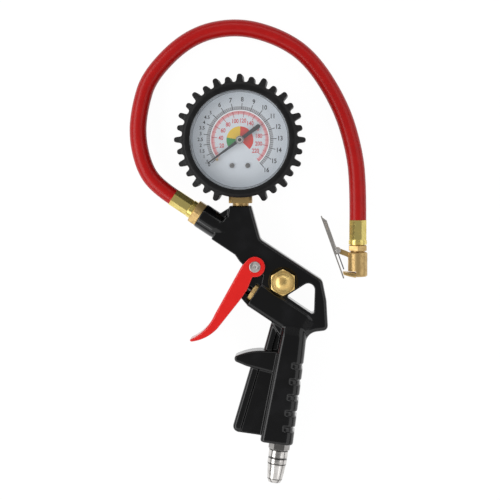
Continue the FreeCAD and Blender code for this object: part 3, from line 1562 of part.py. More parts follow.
def hose_nut():
    """Hexagon fitting between the casting and the hose."""
    body = new_body("hose_nut", row_place(beam_point(-dim.hose_boss_face, 0)), 180 - dim.beam_angle)
    hexagon = new_sketch(body, "YZ_Plane")
    draw_outline(hexagon, polygon_corners(HEXAGON, dim.hose_hex, 90))
    extrude(body, "Pad", hexagon, dim.hose_hex_thickness)
    chamfer_hexagon(body, "XY_Plane", dim.hose_hex_thickness, dim.hose_hex)
    barb_end = dim.hose_hex_thickness + dim.ferrule_length - 1
    turned(body, "Revolution", stepped_profile(
        [-dim.hose_spigot_length, ZERO, barb_end],
        [dim.port_thread_diameter / 2 - dim.slip_gap, dim.barb_diameter / 2]))
    turned(body, "Groove", stepped_profile(
        [-dim.hose_spigot_length - 1, barb_end + 1], [dim.fitting_bore / 2]))
    return body


def ferrule(label, place, angle):
    """Crimped sleeve: a plain ring, a groove and eight flats to its mouth."""
    body = new_body(label, place, angle)
    ring, outer = dim.ferrule_ring_length, dim.ferrule_diameter / 2
    groove = ring + dim.ferrule_ring_groove
    turned(body, "Revolution", stepped_profile(
        [ZERO, ring, groove + 1], [outer, outer - dim.ferrule_ring_groove]))
    crimp = new_sketch(body, "YZ_Plane", (0, 0, groove))
    across = dim.ferrule_diameter - dim.ferrule_flat_depth * 2
    flats = int(dim.ferrule_flats.value)
    draw_outline(crimp, polygon_corners(flats, across, 180 / flats))
    extrude(body, "Pad", crimp, dim.ferrule_length - groove)
    turned(body, "Groove", stepped_profile([as_size(-1), dim.ferrule_length + 1], [dim.barb_diameter / 2]))
    return body


def gun_ferrule():
    """Ferrule at the gun's end of the hose."""
    start = row_place(beam_point(-dim.hose_boss_face - dim.hose_hex_thickness, 0))
    return ferrule("gun_ferrule", start, 180 - dim.beam_angle)


def chuck_place(down=0):
    """Place on the axis of the chuck, at a distance below the hose's end."""
    return (as_size(dim.chuck_x), dim.chuck_y - down, dim.chuck_height)


def chuck_ferrule():
    """Ferrule at the chuck's end of the hose."""
    return ferrule("chuck_ferrule", chuck_place(dim.ferrule_length), as_size(90))


def chuck_adapter():
    """Hexagon adapter between the ferrule and the chuck."""
    body = new_body("chuck_adapter", chuck_place(dim.ferrule_length), as_size(-90))
    neck = dim.adapter_neck_diameter / 2
    end = dim.adapter_gap + dim.adapter_hex_thickness + dim.adapter_neck_length
    barb = dim.ferrule_length - 1
    turned(body, "Revolution", stepped_profile(
        [-barb, ZERO, end, end + dim.adapter_spigot_length],
        [dim.barb_diameter / 2, neck, dim.adapter_spigot_diameter / 2]))
    hexagon = new_sketch(body, "YZ_Plane", (0, 0, dim.adapter_gap))
    draw_outline(hexagon, polygon_corners(HEXAGON, dim.adapter_hex, 90))
    extrude(body, "Pad", hexagon, dim.adapter_hex_thickness)
    turned(body, "Groove", stepped_profile(
        [-barb - 1, end + dim.adapter_spigot_length + 1], [dim.fitting_bore / 2]))
    return body


def chuck_top():
    """Distance from the hose's end down to the top of the chuck's body."""
    return dim.ferrule_length + dim.adapter_gap + dim.adapter_hex_thickness + dim.adapter_neck_length


def chuck_body():
    """Turned brass chuck with a lug for the clip and a notch at its mouth for the claw."""
    body = new_body("chuck_body", chuck_place(chuck_top()), as_size(-90))
    radius, length, edge = dim.chuck_diameter / 2, dim.chuck_length, dim.chuck_edge_round
    turned(body, "Revolution", [
        (ZERO, ZERO), (ZERO, radius - edge), (edge, radius), (length - edge, radius),
        (length, radius - edge), (length, ZERO)])
    pivot = (-dim.lug_drop, -dim.lug_reach)
    arm = dim.lug_neck / 2
    lug = new_sketch(body)
    draw_outline(lug, [
        (dim.lug_root_start, -radius + 1), (dim.lug_root_start + dim.lug_root, -radius + 1),
        (dim.lug_root_start + dim.lug_root - 1, -radius - 1), (pivot[0] + dim.lug_eye_radius, pivot[1]),
        (pivot[0] - dim.lug_eye_radius, pivot[1]), (dim.lug_root_start - arm, -radius - 1)])
    extrude(body, "Pad", lug, dim.lug_thickness, both_ways=True)
    eye = new_sketch(body)
    draw_circle(eye, pivot[0], pivot[1], dim.lug_eye_radius)
    extrude(body, "Pad", eye, dim.lug_thickness, both_ways=True)
    hole = new_sketch(body)
    draw_circle(hole, pivot[0], pivot[1], dim.clip_pin_diameter / 2 + dim.slip_gap)
    extrude(body, "Pocket", hole, dim.lug_thickness + 2, both_ways=True)
    turned(body, "Groove", stepped_profile(
        [as_size(-1), dim.adapter_spigot_length + dim.seat_gap, gasket_seat(),
         gasket_seat() + dim.gasket_thickness, length + 1],
        [dim.adapter_spigot_diameter / 2 + dim.slip_gap, dim.fitting_bore / 2,
         dim.gasket_diameter / 2, dim.chuck_mouth_diameter / 2]))
    notch = new_sketch(body)
    draw_outline(notch, box_corners(
        length - dim.chuck_notch_height, length + 1, -radius - 1, -dim.chuck_notch_reach))
    extrude(body, "Pocket", notch, dim.chuck_diameter + 2, both_ways=True)
    return body


def gasket_seat():
    """Distance from the top of the chuck's body to the gasket."""
    return dim.chuck_length - dim.chuck_mouth_depth - dim.gasket_thickness


def chuck_gasket():
    """Rubber gasket in its recess behind the chuck's mouth."""
    body = new_body("chuck_gasket", chuck_place(chuck_top()), as_size(-90))
    turned(body, "Revolution", ring_profile(
        gasket_seat(), gasket_seat() + dim.gasket_thickness, dim.gasket_bore / 2, dim.gasket_diameter / 2))
    return body


def chuck_depressor():
    """Pin that opens the tire's valve, held by a six-sided flange that lets the air past."""
    body = new_body("chuck_depressor", chuck_place(chuck_top()), as_size(-90))
    floor = gasket_seat()
    start = floor - dim.depressor_flange_thickness
    flange = new_sketch(body, "YZ_Plane", (0, 0, start))
    draw_outline(flange, polygon_corners(HEXAGON, dim.depressor_flange_diameter, 0))
    extrude(body, "Pad", flange, dim.depressor_flange_thickness)
    turned(body, "Revolution", stepped_profile(
        [start, floor + dim.depressor_length], [dim.depressor_diameter / 2]))
    return body


# Clip that holds the chuck on the tire's valve

def clip_place():
    """Centre of the clip's pin."""
    x, y, z = chuck_place(chuck_top() - dim.lug_drop)
    return (x - dim.lug_reach, y, z)


def clip_lever():
    """Folded steel lever: a strip with two flanges along the thumb end and cheeks on the pin."""
    body = new_body("clip_lever", clip_place(), dim.clip_tilt)
    outer, sheet = -dim.clip_offset, dim.clip_sheet
    edge, cheek = outer + dim.clip_flange_depth, dim.clip_cheek_radius
    top = dim.clip_thumb_flange_top
    flanges = new_sketch(body)
    draw_outline(flanges, [
        (outer, -cheek), (ZERO, -cheek, cheek), (cheek, ZERO, cheek), (ZERO, cheek), (edge, cheek + 1),
        (edge, top - dim.clip_flange_depth), (outer + sheet, top), (outer, top)])
    extrude(body, "Pad", flanges, dim.clip_width, both_ways=True)
    inside = new_sketch(body)
    draw_outline(inside, box_corners(outer + sheet, cheek + 1, -cheek - 1, top + 1))
    extrude(body, "Pocket", inside, dim.clip_width - sheet * 2, both_ways=True)
    strip = new_sketch(body)
    draw_outline(strip, box_corners(outer, outer + sheet, -dim.clip_tail_length, dim.clip_thumb_length))
    extrude(body, "Pad", strip, dim.clip_width, both_ways=True)
    hole = new_sketch(body)
    draw_circle(hole, 0, 0, dim.clip_pin_diameter / 2 + dim.slip_gap)
    extrude(body, "Pocket", hole, dim.clip_width + 2, both_ways=True)
    slot = new_sketch(body, "XY_Plane", (0, 0, dim.clip_width / 2))
    slot_left = outer + sheet
    draw_outline(slot, box_corners(
        slot_left, slot_left + dim.clip_slot_width, dim.clip_slot_start,
        dim.clip_slot_start + dim.clip_slot_length))
    extrude(body, "Pocket", slot, sheet)
    return body


def clip_pivot_pin():
    """Riveted pin of the clip."""
    body = new_body("clip_pivot_pin", clip_place(), dim.clip_tilt)
    seat, radius = dim.clip_width / 2, dim.clip_pin_diameter / 2
    head, high = dim.clip_pin_head_diameter / 2, dim.clip_width / 2 + dim.clip_pin_head
    stacked(body, "Revolution", [
        (ZERO, -high), (head, -high), (head, -seat), (radius, -seat), (radius, seat), (head, seat),
        (head, high), (ZERO, high)])
    return body


def clip_spring():
    """Flat return spring: an eye on the pin and a leg inside the lever."""
    body = new_body("clip_spring", clip_place(), dim.clip_tilt)
    low = dim.lug_thickness / 2 + dim.clip_spring_gap
    leg = new_sketch(body, "XY_Plane", (0, 0, low))
    right = -dim.clip_pin_diameter / 2 + dim.clip_spring_wire
    left = right - dim.clip_spring_wire
    top = dim.clip_spring_gap - dim.clip_spring_eye
    draw_outline(leg, box_corners(left, right, -dim.clip_spring_leg, top))
    extrude(body, "Pad", leg, dim.clip_spring_width)
    eye = new_sketch(body, "XY_Plane", (0, 0, low))
    draw_circle(eye, 0, 0, dim.clip_spring_eye)
    extrude(body, "Pad", eye, dim.clip_spring_width)
    hole = new_sketch(body, "XY_Plane", (0, 0, low))
    draw_circle(hole, 0, 0, dim.clip_pin_diameter / 2 + dim.slip_gap)
    extrude(body, "Pocket", hole, dim.clip_spring_width + 1, backwards=True)
    return body


def clip_claw():
    """Wedge on the lever's tail, forked to reach round the tire's valve."""
    body = new_body("clip_claw", clip_place())
    mouth = dim.chuck_length + dim.lug_drop
    tip = dim.lug_reach - dim.claw_reach
    side = new_sketch(body)
    draw_outline(side, [
        (dim.claw_root_x, dim.claw_root_low - mouth), (dim.claw_bend_x, dim.claw_bend_low - mouth),
        (tip, -mouth - dim.claw_drop), (tip, dim.claw_tip_high - mouth),
        (dim.claw_root_x - dim.claw_root_lean, dim.claw_root_high - mouth)])
    extrude(body, "Pad", side, dim.claw_width, both_ways=True)
    fork = new_sketch(body, "XZ_Plane")
    draw_circle(fork, dim.lug_reach, 0, dim.claw_notch_radius)
    extrude(body, "Pocket", fork, mouth + 2, backwards=True)
    return body


# Hose

def hose_wire(places):
    """Centre line of the hose: straight runs joined by tangent arcs. Also gives the bend radii."""
    edges, radii = [], []
    start = places[0]
    for before, corner, after in zip(places, places[1:], places[2:]):
        arriving, leaving = (corner - before).normalize(), (after - corner).normalize()
        half_turn = arriving.getAngle(leaving) / 2
        reach = BEND_SHARE * min((corner - before).Length, (after - corner).Length)
        first, last = corner - arriving * reach, corner + leaving * reach
        radius = reach / math.tan(half_turn)
        inward = (leaving - arriving).normalize()
        centre = corner + inward * (radius / math.cos(half_turn))
        edges.append(Part.LineSegment(start, first).toShape())
        edges.append(Part.Arc(first, centre - inward * radius, last).toShape())
        radii.append(radius)
        start = last
    edges.append(Part.LineSegment(start, places[-1]).toShape())
    return Part.Wire(edges), radii


def hose():
    """Rubber hose, empty inside, from the gun's ferrule to the chuck's."""
    mouth = row_place(beam_point(-dim.hose_boss_face - dim.hose_hex_thickness - dim.ferrule_length, 0))
    route = [[size.value for size in mouth]] + HOSE_ROUTE + [[size.value for size in chuck_place()]]
    places = [FreeCAD.Vector(*place) for place in route]
    wire, radii = hose_wire(places)
    ends = [Part.Wire([Part.makeCircle(size.value / 2, places[0], places[1] - places[0])])
            for size in (dim.hose_diameter, dim.hose_bore)]
    outside, inside = [wire.makePipeShell([end], True, True) for end in ends]
    thing = doc.addObject("Part::Feature", "hose")
    thing.Label = "hose"
    thing.Shape = outside.cut(inside)
    section = math.pi / 4 * (dim.hose_diameter.value ** 2 - dim.hose_bore.value ** 2)
    print("hose length", round(wire.Length, 1), "bend radii", [round(radius, 1) for radius in radii])
    print("hose volume", round(thing.Shape.Volume, 1), "section x length", round(section * wire.Length, 1))
    return thing


pieces = [
    pistol_casting(), trigger(), pivot_barrel(), pivot_screw(),
    valve_bushing(), valve_stem(), stem_seal_ring(), valve_poppet(), valve_spring(),
    cap_nut(), cap_nut_washer(), air_plug(),
    gauge_boot(), gauge_case(), dial_spacer(), gauge_lens(), dial_plate(),
    dial_screw("dial_screw_left", -1), dial_screw("dial_screw_right", 1), pointer_stop_pin(),
    gauge_socket(), bourdon_tube(), movement_frame(), pointer_spindle(), pointer(), pointer_cap(),
    hose_nut(), gun_ferrule(), hose(), chuck_ferrule(), chuck_adapter(), chuck_body(),
    chuck_gasket(), chuck_depressor(), clip_lever(), clip_pivot_pin(), clip_spring(), clip_claw(),
]
doc.recompute()

faults = [thing.Label for thing in doc.Objects if {"Invalid", "Error"} & set(thing.State)]
faults += [piece.Label for piece in pieces if piece.Shape.isNull() or not piece.Shape.isValid()]
if faults:
    raise RuntimeError("not built: " + ", ".join(faults))

os.makedirs("parts", exist_ok=True)
for piece in pieces:
    piece.Shape.exportStep(f"parts/{piece.Label}.step")
bounds = FreeCAD.BoundBox()
for piece in pieces:
    bounds.add(piece.Shape.BoundBox)
print(len(pieces), "pieces from", bounds)
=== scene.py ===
import math

import bmesh
import bpy
from mathutils import Matrix, Vector


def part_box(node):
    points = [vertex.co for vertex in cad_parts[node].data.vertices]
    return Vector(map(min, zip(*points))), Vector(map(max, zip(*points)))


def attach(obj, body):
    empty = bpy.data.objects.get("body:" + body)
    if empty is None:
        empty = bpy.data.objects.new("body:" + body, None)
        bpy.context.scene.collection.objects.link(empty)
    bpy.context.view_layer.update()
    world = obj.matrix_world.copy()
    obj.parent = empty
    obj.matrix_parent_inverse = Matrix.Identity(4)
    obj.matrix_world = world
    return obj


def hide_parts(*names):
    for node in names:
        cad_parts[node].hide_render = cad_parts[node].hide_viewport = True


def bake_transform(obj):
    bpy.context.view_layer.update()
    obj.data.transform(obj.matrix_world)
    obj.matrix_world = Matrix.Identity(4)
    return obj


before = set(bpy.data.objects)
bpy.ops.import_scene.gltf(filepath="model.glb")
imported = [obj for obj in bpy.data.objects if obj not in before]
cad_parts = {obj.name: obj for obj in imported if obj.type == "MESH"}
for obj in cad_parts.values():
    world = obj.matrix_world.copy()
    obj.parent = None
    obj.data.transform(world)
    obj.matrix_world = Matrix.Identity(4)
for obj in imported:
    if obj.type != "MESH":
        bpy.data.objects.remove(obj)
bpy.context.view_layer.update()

# Hose. A short length of red rubber air hose, smooth outside, pushed over a barb at each end.
# It leaves the gun's ferrule, sweeps round behind the gauge on the table and comes back down to
# the chuck.

MM = 0.001
HOSE_DIAMETER = 10.5 * MM
HOSE_ROUND_STEPS = 12
HOSE_RUN_STEPS = 12
HOSE_RUN = [
    (-46.48, 51.65, 13.0), (-56.12, 58.03, 13.0), (-64.5, 69.1, 12.2), (-69.3, 88.8, 10.4),
    (-67.6, 107.7, 8.3), (-61.5, 127.4, 6.2), (-36.9, 151.3, 5.6), (-8.1, 157.9, 5.6),
    (19.0, 150.8, 5.6), (39.2, 136.9, 5.6), (57.3, 107.9, 5.7), (65.5, 81.0, 6.1),
    (68.0, 59.5, 6.4), (68.0, 37.2, 6.4),
]


def paint(red, green, blue):
    """A colour as seen, in parts of 255, in the linear values that shaders take: the sRGB curve."""
    linear = []
    for part in (red, green, blue):
        seen = part / 255
        linear.append(seen / 12.92 if seen < 0.04 else ((seen + 0.055) / 1.055) ** 2.4)
    return (*linear, 1)


class Term:
    """A value in a finish's nodes. Arithmetic on it adds the Math nodes."""

    def __init__(self, finish, socket):
        self.finish = finish
        self.socket = socket

    def maths(self, operation, first, second):
        return self.finish.add("ShaderNodeMath", {"operation": operation}, {0: first, 1: second})

    def __add__(self, other):
        return self.maths("ADD", self, other)

    def __sub__(self, other):
        return self.maths("SUBTRACT", self, other)

    def __rsub__(self, other):
        return self.maths("SUBTRACT", other, self)

    def __mul__(self, other):
        return self.maths("MULTIPLY", self, other)

    __radd__ = __add__
    __rmul__ = __mul__

    def between(self, low, high):
        """0 below low, 1 above high and a smooth rise from one to the other."""
        return self.finish.add("ShaderNodeMapRange", {"interpolation_type": "SMOOTHSTEP"},
                               {"Value": self, "From Min": low, "From Max": high})


class Finish:
    """A procedural material: fixed values sit on its shader, and its nodes are added one by one."""

    def __init__(self, name, **fixed):
        self.material = bpy.data.materials.new(name)
        self.material.use_nodes = True
        self.nodes = self.material.node_tree.nodes
        self.shader = self.nodes["Principled BSDF"]
        for word, value in fixed.items():
            socket = word.replace("_", " ").title().replace("Ior", "IOR")
            self.shader.inputs[socket].default_value = value
        self.where = self.add("ShaderNodeTexCoord", output="Object")

    def add(self, kind, settings=None, inputs=None, output=0):
        """Adds a node, sets it up, feeds its sockets and gives one of its outputs."""
        node = self.nodes.new(kind)
        for setting, value in (settings or {}).items():
            setattr(node, setting, value)
        for socket, value in (inputs or {}).items():
            self.feed(node.inputs[socket], value)
        return Term(self, node.outputs[output])

    def feed(self, socket, value):
        """Links a term to a socket, or sets the socket to a plain value."""
        if isinstance(value, Term):
            self.material.node_tree.links.new(value.socket, socket)
        else:
            socket.default_value = value

    def noise(self, size, detail):
        """Cloudy noise whose marks are about so many metres across."""
        place = self.add("ShaderNodeMapping", None, {"Vector": self.where, "Scale": [1 / size] * 3})
        return self.add("ShaderNodeTexNoise", None,
                        {"Vector": place, "Scale": 1.0, "Detail": detail})

    def edges(self, low, high):
        """1 along a shape's outer edges and 0 on its faces."""
        return self.add("ShaderNodeNewGeometry", output="Pointiness").between(low, high)

    def mix(self, share, first, second):
        """A colour between two, by a share of the second."""
        return self.add("ShaderNodeMix", {"data_type": "RGBA"}, {0: share, 6: first, 7: second},
                        output=2)

    def bump(self, height, depth):
        """Relief of so many metres for a height from 0 to 1."""
        self.wear(Normal=self.add("ShaderNodeBump", None, {"Height": height, "Distance": depth}))

    def wear(self, **varying):
        """Feeds values that vary over the surface to the shader."""
        for socket, value in varying.items():
            self.feed(self.shader.inputs[socket.replace("_", " ")], value)


HOSE_RED = paint(172, 18, 18)
HOSE_RED_CLOUDS = paint(188, 24, 22)
HOSE_SCUFFED = paint(214, 92, 86)
HOSE_SCUFF_STRENGTH = 0.08
HOSE_ROUGHNESS = 0.3
MOTTLE_ROUGHNESS = 0.08
SCUFF_ROUGHNESS = 0.15

hose_rubber = Finish("red_hose_rubber", specular_ior_level=0.2, coat_weight=0.15,
                     coat_roughness=0.2)
mottle = hose_rubber.noise(size=6 * MM, detail=3.0)
scuff = hose_rubber.noise(size=1.4 * MM, detail=4.0).between(low=0.62, high=0.8)
clean_hose = hose_rubber.mix(mottle, HOSE_RED, HOSE_RED_CLOUDS)
hose_rubber.wear(
    Base_Color=hose_rubber.mix(scuff * HOSE_SCUFF_STRENGTH, clean_hose, HOSE_SCUFFED),
    Roughness=HOSE_ROUGHNESS + mottle * MOTTLE_ROUGHNESS + scuff * SCUFF_ROUGHNESS)
hose_rubber.bump(hose_rubber.noise(size=0.5 * MM, detail=2.0), depth=0.02 * MM)

hose_line = bpy.data.curves.new("hose_line", "CURVE")
hose_line.dimensions = "3D"
hose_line.bevel_depth = HOSE_DIAMETER / 2
hose_line.bevel_resolution = HOSE_ROUND_STEPS
hose_line.resolution_u = HOSE_RUN_STEPS
hose_line.use_fill_caps = True
run = hose_line.splines.new("NURBS")
run.points.add(len(HOSE_RUN) - 1)
for point, place in zip(run.points, HOSE_RUN):
    point.co = (*[part * MM for part in place], 1)
run.order_u = 3
run.use_endpoint_u = True
red_hose = bpy.data.objects.new("red_hose", hose_line)
bpy.context.scene.collection.objects.link(red_hose)
hose_line.materials.append(hose_rubber.material)
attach(red_hose, "gun")
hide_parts("hose")

# Pistol casting. The gun's body is aluminium, die-cast in one piece and sprayed with gloss black
# enamel. Its edges are as soft as the mould left them, and the paint lies in a faint orange peel.

CASTING_VOXEL = 0.4 * MM
CASTING_ROUNDS = 8
CASTING_SHARE = 0.5
SAME_POINT = 0.001 * MM
SAME_FACE = math.radians(0.4)


def merged_copy(node):
    """A closed copy of a CAD node's mesh, its flat faces whole again."""
    mesh = bmesh.new()
    mesh.from_mesh(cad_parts[node].data)
    bmesh.ops.remove_doubles(mesh, verts=mesh.verts, dist=SAME_POINT)
    bmesh.ops.dissolve_limit(mesh, angle_limit=SAME_FACE, verts=mesh.verts, edges=mesh.edges)
    return mesh


def moulded_skin(mesh, voxel, rounds, share):
    """A shape with the soft edges that a mould leaves: remeshed, smoothed and thinned."""
    data = bpy.data.meshes.new("blank")
    mesh.to_mesh(data)
    mesh.free()
    blank = bpy.data.objects.new("blank", data)
    bpy.context.scene.collection.objects.link(blank)
    remesh = blank.modifiers.new("remesh", "REMESH")
    remesh.mode = "VOXEL"
    remesh.voxel_size = voxel
    remesh.use_smooth_shade = True
    smooth = blank.modifiers.new("smooth", "SMOOTH")
    smooth.iterations = rounds
    thin = blank.modifiers.new("thin", "DECIMATE")
    thin.ratio = share
    shaped = blank.evaluated_get(bpy.context.evaluated_depsgraph_get())
    skin = bpy.data.meshes.new_from_object(shaped)
    bpy.data.objects.remove(blank)
    skin.shade_smooth()
    return skin


def in_finish(name, mesh, finish):
    """An object of a mesh, or of a bmesh, that wears one finish."""
    data = mesh
    if isinstance(mesh, bmesh.types.BMesh):
        data = bpy.data.meshes.new(name)
        mesh.to_mesh(data)
        mesh.free()
    piece = bpy.data.objects.new(name, data)
    bpy.context.scene.collection.objects.link(piece)
    data.materials.clear()
    data.materials.append(finish.material)
    return piece


def make_piece(name, mesh, finish, body, node=None):
    """A mesh made a piece: its finish, the body that it rides on and the CAD node it stands for."""
    piece = in_finish(name, mesh, finish)
    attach(piece, body)
    if node:
        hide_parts(node)
    return piece


ENAMEL_BLACK = paint(10, 10, 11)
ENAMEL_DUSTY = paint(17, 17, 19)
ENAMEL_RUBBED_AND_SHEEN = paint(44, 44, 46)
ENAMEL_RUB_AND_SHEEN_STRENGTH = 0.15
ENAMEL_ROUGHNESS = 0.24
DUST_ROUGHNESS = 0.08
RUB_ROUGHNESS = 0.1

black_enamel = Finish("black_enamel", specular_ior_level=0.2, coat_weight=0.55,
                      coat_roughness=0.05)
dust = black_enamel.noise(size=14 * MM, detail=5.0).between(low=0.45, high=0.75)
# The enamel is painted lighter along its edges: partly rubbed paint, partly a painted highlight of
# the grey sheen that the edges catch.
rub_and_sheen = black_enamel.edges(low=0.52, high=0.66)
whole_enamel = black_enamel.mix(dust, ENAMEL_BLACK, ENAMEL_DUSTY)
black_enamel.wear(
    Base_Color=black_enamel.mix(rub_and_sheen * ENAMEL_RUB_AND_SHEEN_STRENGTH, whole_enamel, ENAMEL_RUBBED_AND_SHEEN),
    Roughness=ENAMEL_ROUGHNESS + dust * DUST_ROUGHNESS + rub_and_sheen * RUB_ROUGHNESS)
black_enamel.bump(black_enamel.noise(size=1.6 * MM, detail=2.0), depth=0.015 * MM)
cast_skin = moulded_skin(merged_copy("pistol_casting"), CASTING_VOXEL, CASTING_ROUNDS,
                         CASTING_SHARE)
make_piece("cast_body", cast_skin, black_enamel, "gun", "pistol_casting")

# Gusset. In the corner behind the trigger's pivot the same casting has a web, which runs from the
# beam down to the foot of the valve bushing. It is thick above and below the valve's stem and thin
# behind it, so that the stem can pass.

BEAM_FOOT = Vector((-4.7, 24.0, 0)) * MM
BEAM_ALONG = Vector((0.8339, -0.5519, 0))
BEAM_UP = Vector((0.5519, 0.8339, 0))
GUSSET_VOXEL = 0.3 * MM
GUSSET_ROUNDS = 2
GUSSET_SHARE = 0.5
GUSSET_BACK = 6.4 * MM
BEHIND_STEM = 11.2 * MM
GUSSET_FRONT = 18.5 * MM
GUSSET_OUTLINE = [
    (14.0, -11.5), (17.2, -14.5), (17.6, -27.0), (19.8, -28.8), (25.4, -30.4), (25.4, -27.95),
    (22.6, -27.95), (22.6, -15.85), (25.4, -15.85), (25.4, -12.0), (22.0, -8.0)]
OVER_STEM = [
    (14.0, -11.5), (17.2, -14.5), (17.3, -19.4), (22.6, -19.4), (22.6, -15.85), (25.4, -15.85),
    (25.4, -12.0), (22.0, -8.0)]
UNDER_STEM = [
    (17.5, -24.6), (17.6, -27.0), (19.8, -28.8), (25.4, -30.4), (25.4, -27.95), (22.6, -27.95),
    (22.6, -24.6)]


def cast_plate(mesh, outline, low, high):
    """A plate between two heights. Its outline is in millimetres along and up the beam."""
    corners = []
    for along, up in outline:
        place = BEAM_FOOT + (BEAM_ALONG * along + BEAM_UP * up) * MM + Vector((0, 0, low))
        corners.append(mesh.verts.new(place))
    raised = bmesh.ops.extrude_face_region(mesh, geom=[mesh.faces.new(corners)])["geom"]
    bmesh.ops.translate(mesh, vec=(0, 0, high - low),
                        verts=[part for part in raised if isinstance(part, bmesh.types.BMVert)])


gusset = bmesh.new()
cast_plate(gusset, GUSSET_OUTLINE, GUSSET_BACK, BEHIND_STEM)
cast_plate(gusset, OVER_STEM, GUSSET_BACK, GUSSET_FRONT)
cast_plate(gusset, UNDER_STEM, GUSSET_BACK, GUSSET_FRONT)
bmesh.ops.recalc_face_normals(gusset, faces=gusset.faces)
gusset_skin = moulded_skin(gusset, GUSSET_VOXEL, GUSSET_ROUNDS, GUSSET_SHARE)
make_piece("beam_gusset", gusset_skin, black_enamel, "gun")

# Trigger. A cast channel in bright red enamel that straddles the casting and turns on a barrel
# and a socket screw of plain steel. Its thin toe curves away from the grip.

TRIGGER_VOXEL = 0.35 * MM
TRIGGER_ROUNDS = 3
TRIGGER_SHARE = 0.6
TRIGGER_RED = paint(222, 24, 22)
TRIGGER_RED_CLOUDS = paint(236, 34, 28)
TRIGGER_CHIPPED_AND_SHEEN = paint(240, 96, 84)
TRIGGER_CHIP_AND_SHEEN_STRENGTH = 0.12
TRIGGER_ROUGHNESS = 0.3
CLOUD_ROUGHNESS = 0.1

red_enamel = Finish("red_enamel", specular_ior_level=0.25, coat_weight=0.6, coat_roughness=0.06)
cloud = red_enamel.noise(size=7 * MM, detail=3.0)
# The red is painted paler along the edges: partly chipped paint, partly a painted highlight along
# the rounded edges.
chip_and_sheen = red_enamel.edges(low=0.54, high=0.62)
whole_red = red_enamel.mix(cloud, TRIGGER_RED, TRIGGER_RED_CLOUDS)
red_enamel.wear(
    Base_Color=red_enamel.mix(chip_and_sheen * TRIGGER_CHIP_AND_SHEEN_STRENGTH, whole_red, TRIGGER_CHIPPED_AND_SHEEN),
    Roughness=TRIGGER_ROUGHNESS + cloud * CLOUD_ROUGHNESS)
red_enamel.bump(red_enamel.noise(size=1.2 * MM, detail=2.0), depth=0.02 * MM)
trigger_skin = moulded_skin(merged_copy("trigger"), TRIGGER_VOXEL, TRIGGER_ROUNDS, TRIGGER_SHARE)
make_piece("red_trigger", trigger_skin, red_enamel, "trigger", "trigger")

BROKEN_EDGE = 32
HARD_EDGE = 50
STAIN_ROUGHNESS = 0.1
MARK_ROUGHNESS = 0.06
WORN_SMOOTHNESS = 0.06
WORN_CLEAN = 0.6
LEAST_FILM = 0.6


def sharp_edges(mesh, angle):
    """The edges of a mesh whose faces meet at more than so many degrees."""
    return [edge for edge in mesh.edges if edge.calc_face_angle(0) > math.radians(angle)]


def eased(node, width, segments=2):
    """A copy of a CAD node with the fine broken edges of a machined part."""
    mesh = merged_copy(node)
    bmesh.ops.bevel(mesh, geom=sharp_edges(mesh, BROKEN_EDGE), offset=width, offset_type="OFFSET",
                    affect="EDGES", segments=segments, profile=0.5, clamp_overlap=True, material=-1)
    for face in mesh.faces:
        face.smooth = True
    for edge in sharp_edges(mesh, HARD_EDGE):
        edge.smooth = False
    return mesh


def machined(name, finish, body, node, width, segments=2):
    """A machined part in place of its CAD node, with its normals kept flat on its flat faces."""
    piece = make_piece(name, eased(node, width, segments), finish, body, node)
    flats = piece.modifiers.new("flats", "WEIGHTED_NORMAL")
    flats.keep_sharp = True
    return piece


def metal(name, light, dark, rough, film=0.25, stain=3 * MM):
    """A machined metal: tool marks, a film of tarnish in cloudy stains, and brighter edges."""
    made = Finish(name)
    marks = made.noise(size=0.25 * MM, detail=3.0)
    stains = made.noise(size=stain, detail=4.0).between(low=0.4, high=0.75)
    worn = made.edges(low=0.52, high=0.6)
    dull = film * (LEAST_FILM + stains * (1 - LEAST_FILM)) * (1 - worn)
    marked = rough + stains * STAIN_ROUGHNESS + marks * MARK_ROUGHNESS
    made.colour = made.mix(stains * (1 - worn * WORN_CLEAN), light, dark)
    made.wear(Base_Color=made.colour, Metallic=1 - dull, Roughness=marked - worn * WORN_SMOOTHNESS)
    made.bump(marks, depth=0.003 * MM)
    return made


plain_steel = metal("plain_steel", light=paint(226, 223, 220), dark=paint(176, 171, 166),
                    rough=0.28, film=0.5)
machined("pivot_screw_head", plain_steel, "gun", "pivot_screw", width=0.3 * MM, segments=3)
machined("pivot_barrel_head", plain_steel, "gun", "pivot_barrel", width=0.3 * MM,
         segments=3)

# Valve. A brass bushing screwed into the strut guides a steel stem that the trigger pushes. Inside
# are a rubber ring, a poppet and a wound spring, and a domed brass nut closes the cross port.

RUBBER_BLACK = paint(9, 9, 10)
RUBBER_GREYED_AND_SHEEN = paint(32, 32, 34)
RUB_AND_SHEEN_STRENGTH = 0.6
BLOOM_STRENGTH = 0.3
RUBBER_ROUGHNESS = 0.4
GRIT_ROUGHNESS = 0.12
BLOOM_ROUGHNESS = 0.1


def give(finish, *nodes):
    """Puts a finish on CAD nodes that stay as they are."""
    for node in nodes:
        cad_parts[node].material_slots[0].material = finish.material


dull_brass = metal("dull_brass", light=paint(206, 174, 116), dark=paint(184, 152, 98),
                   rough=0.32, film=0.45)
bright_brass = metal("bright_brass", light=paint(238, 206, 134), dark=paint(216, 178, 108),
                     rough=0.26, film=0.35, stain=5 * MM)
spring_wire = metal("spring_wire", light=paint(176, 176, 178), dark=paint(112, 110, 108), rough=0.2)
black_rubber = Finish("black_rubber", specular_ior_level=0.3)
bloom = black_rubber.noise(size=5 * MM, detail=4.0).between(low=0.4, high=0.8)
grit = black_rubber.noise(size=0.35 * MM, detail=3.0)
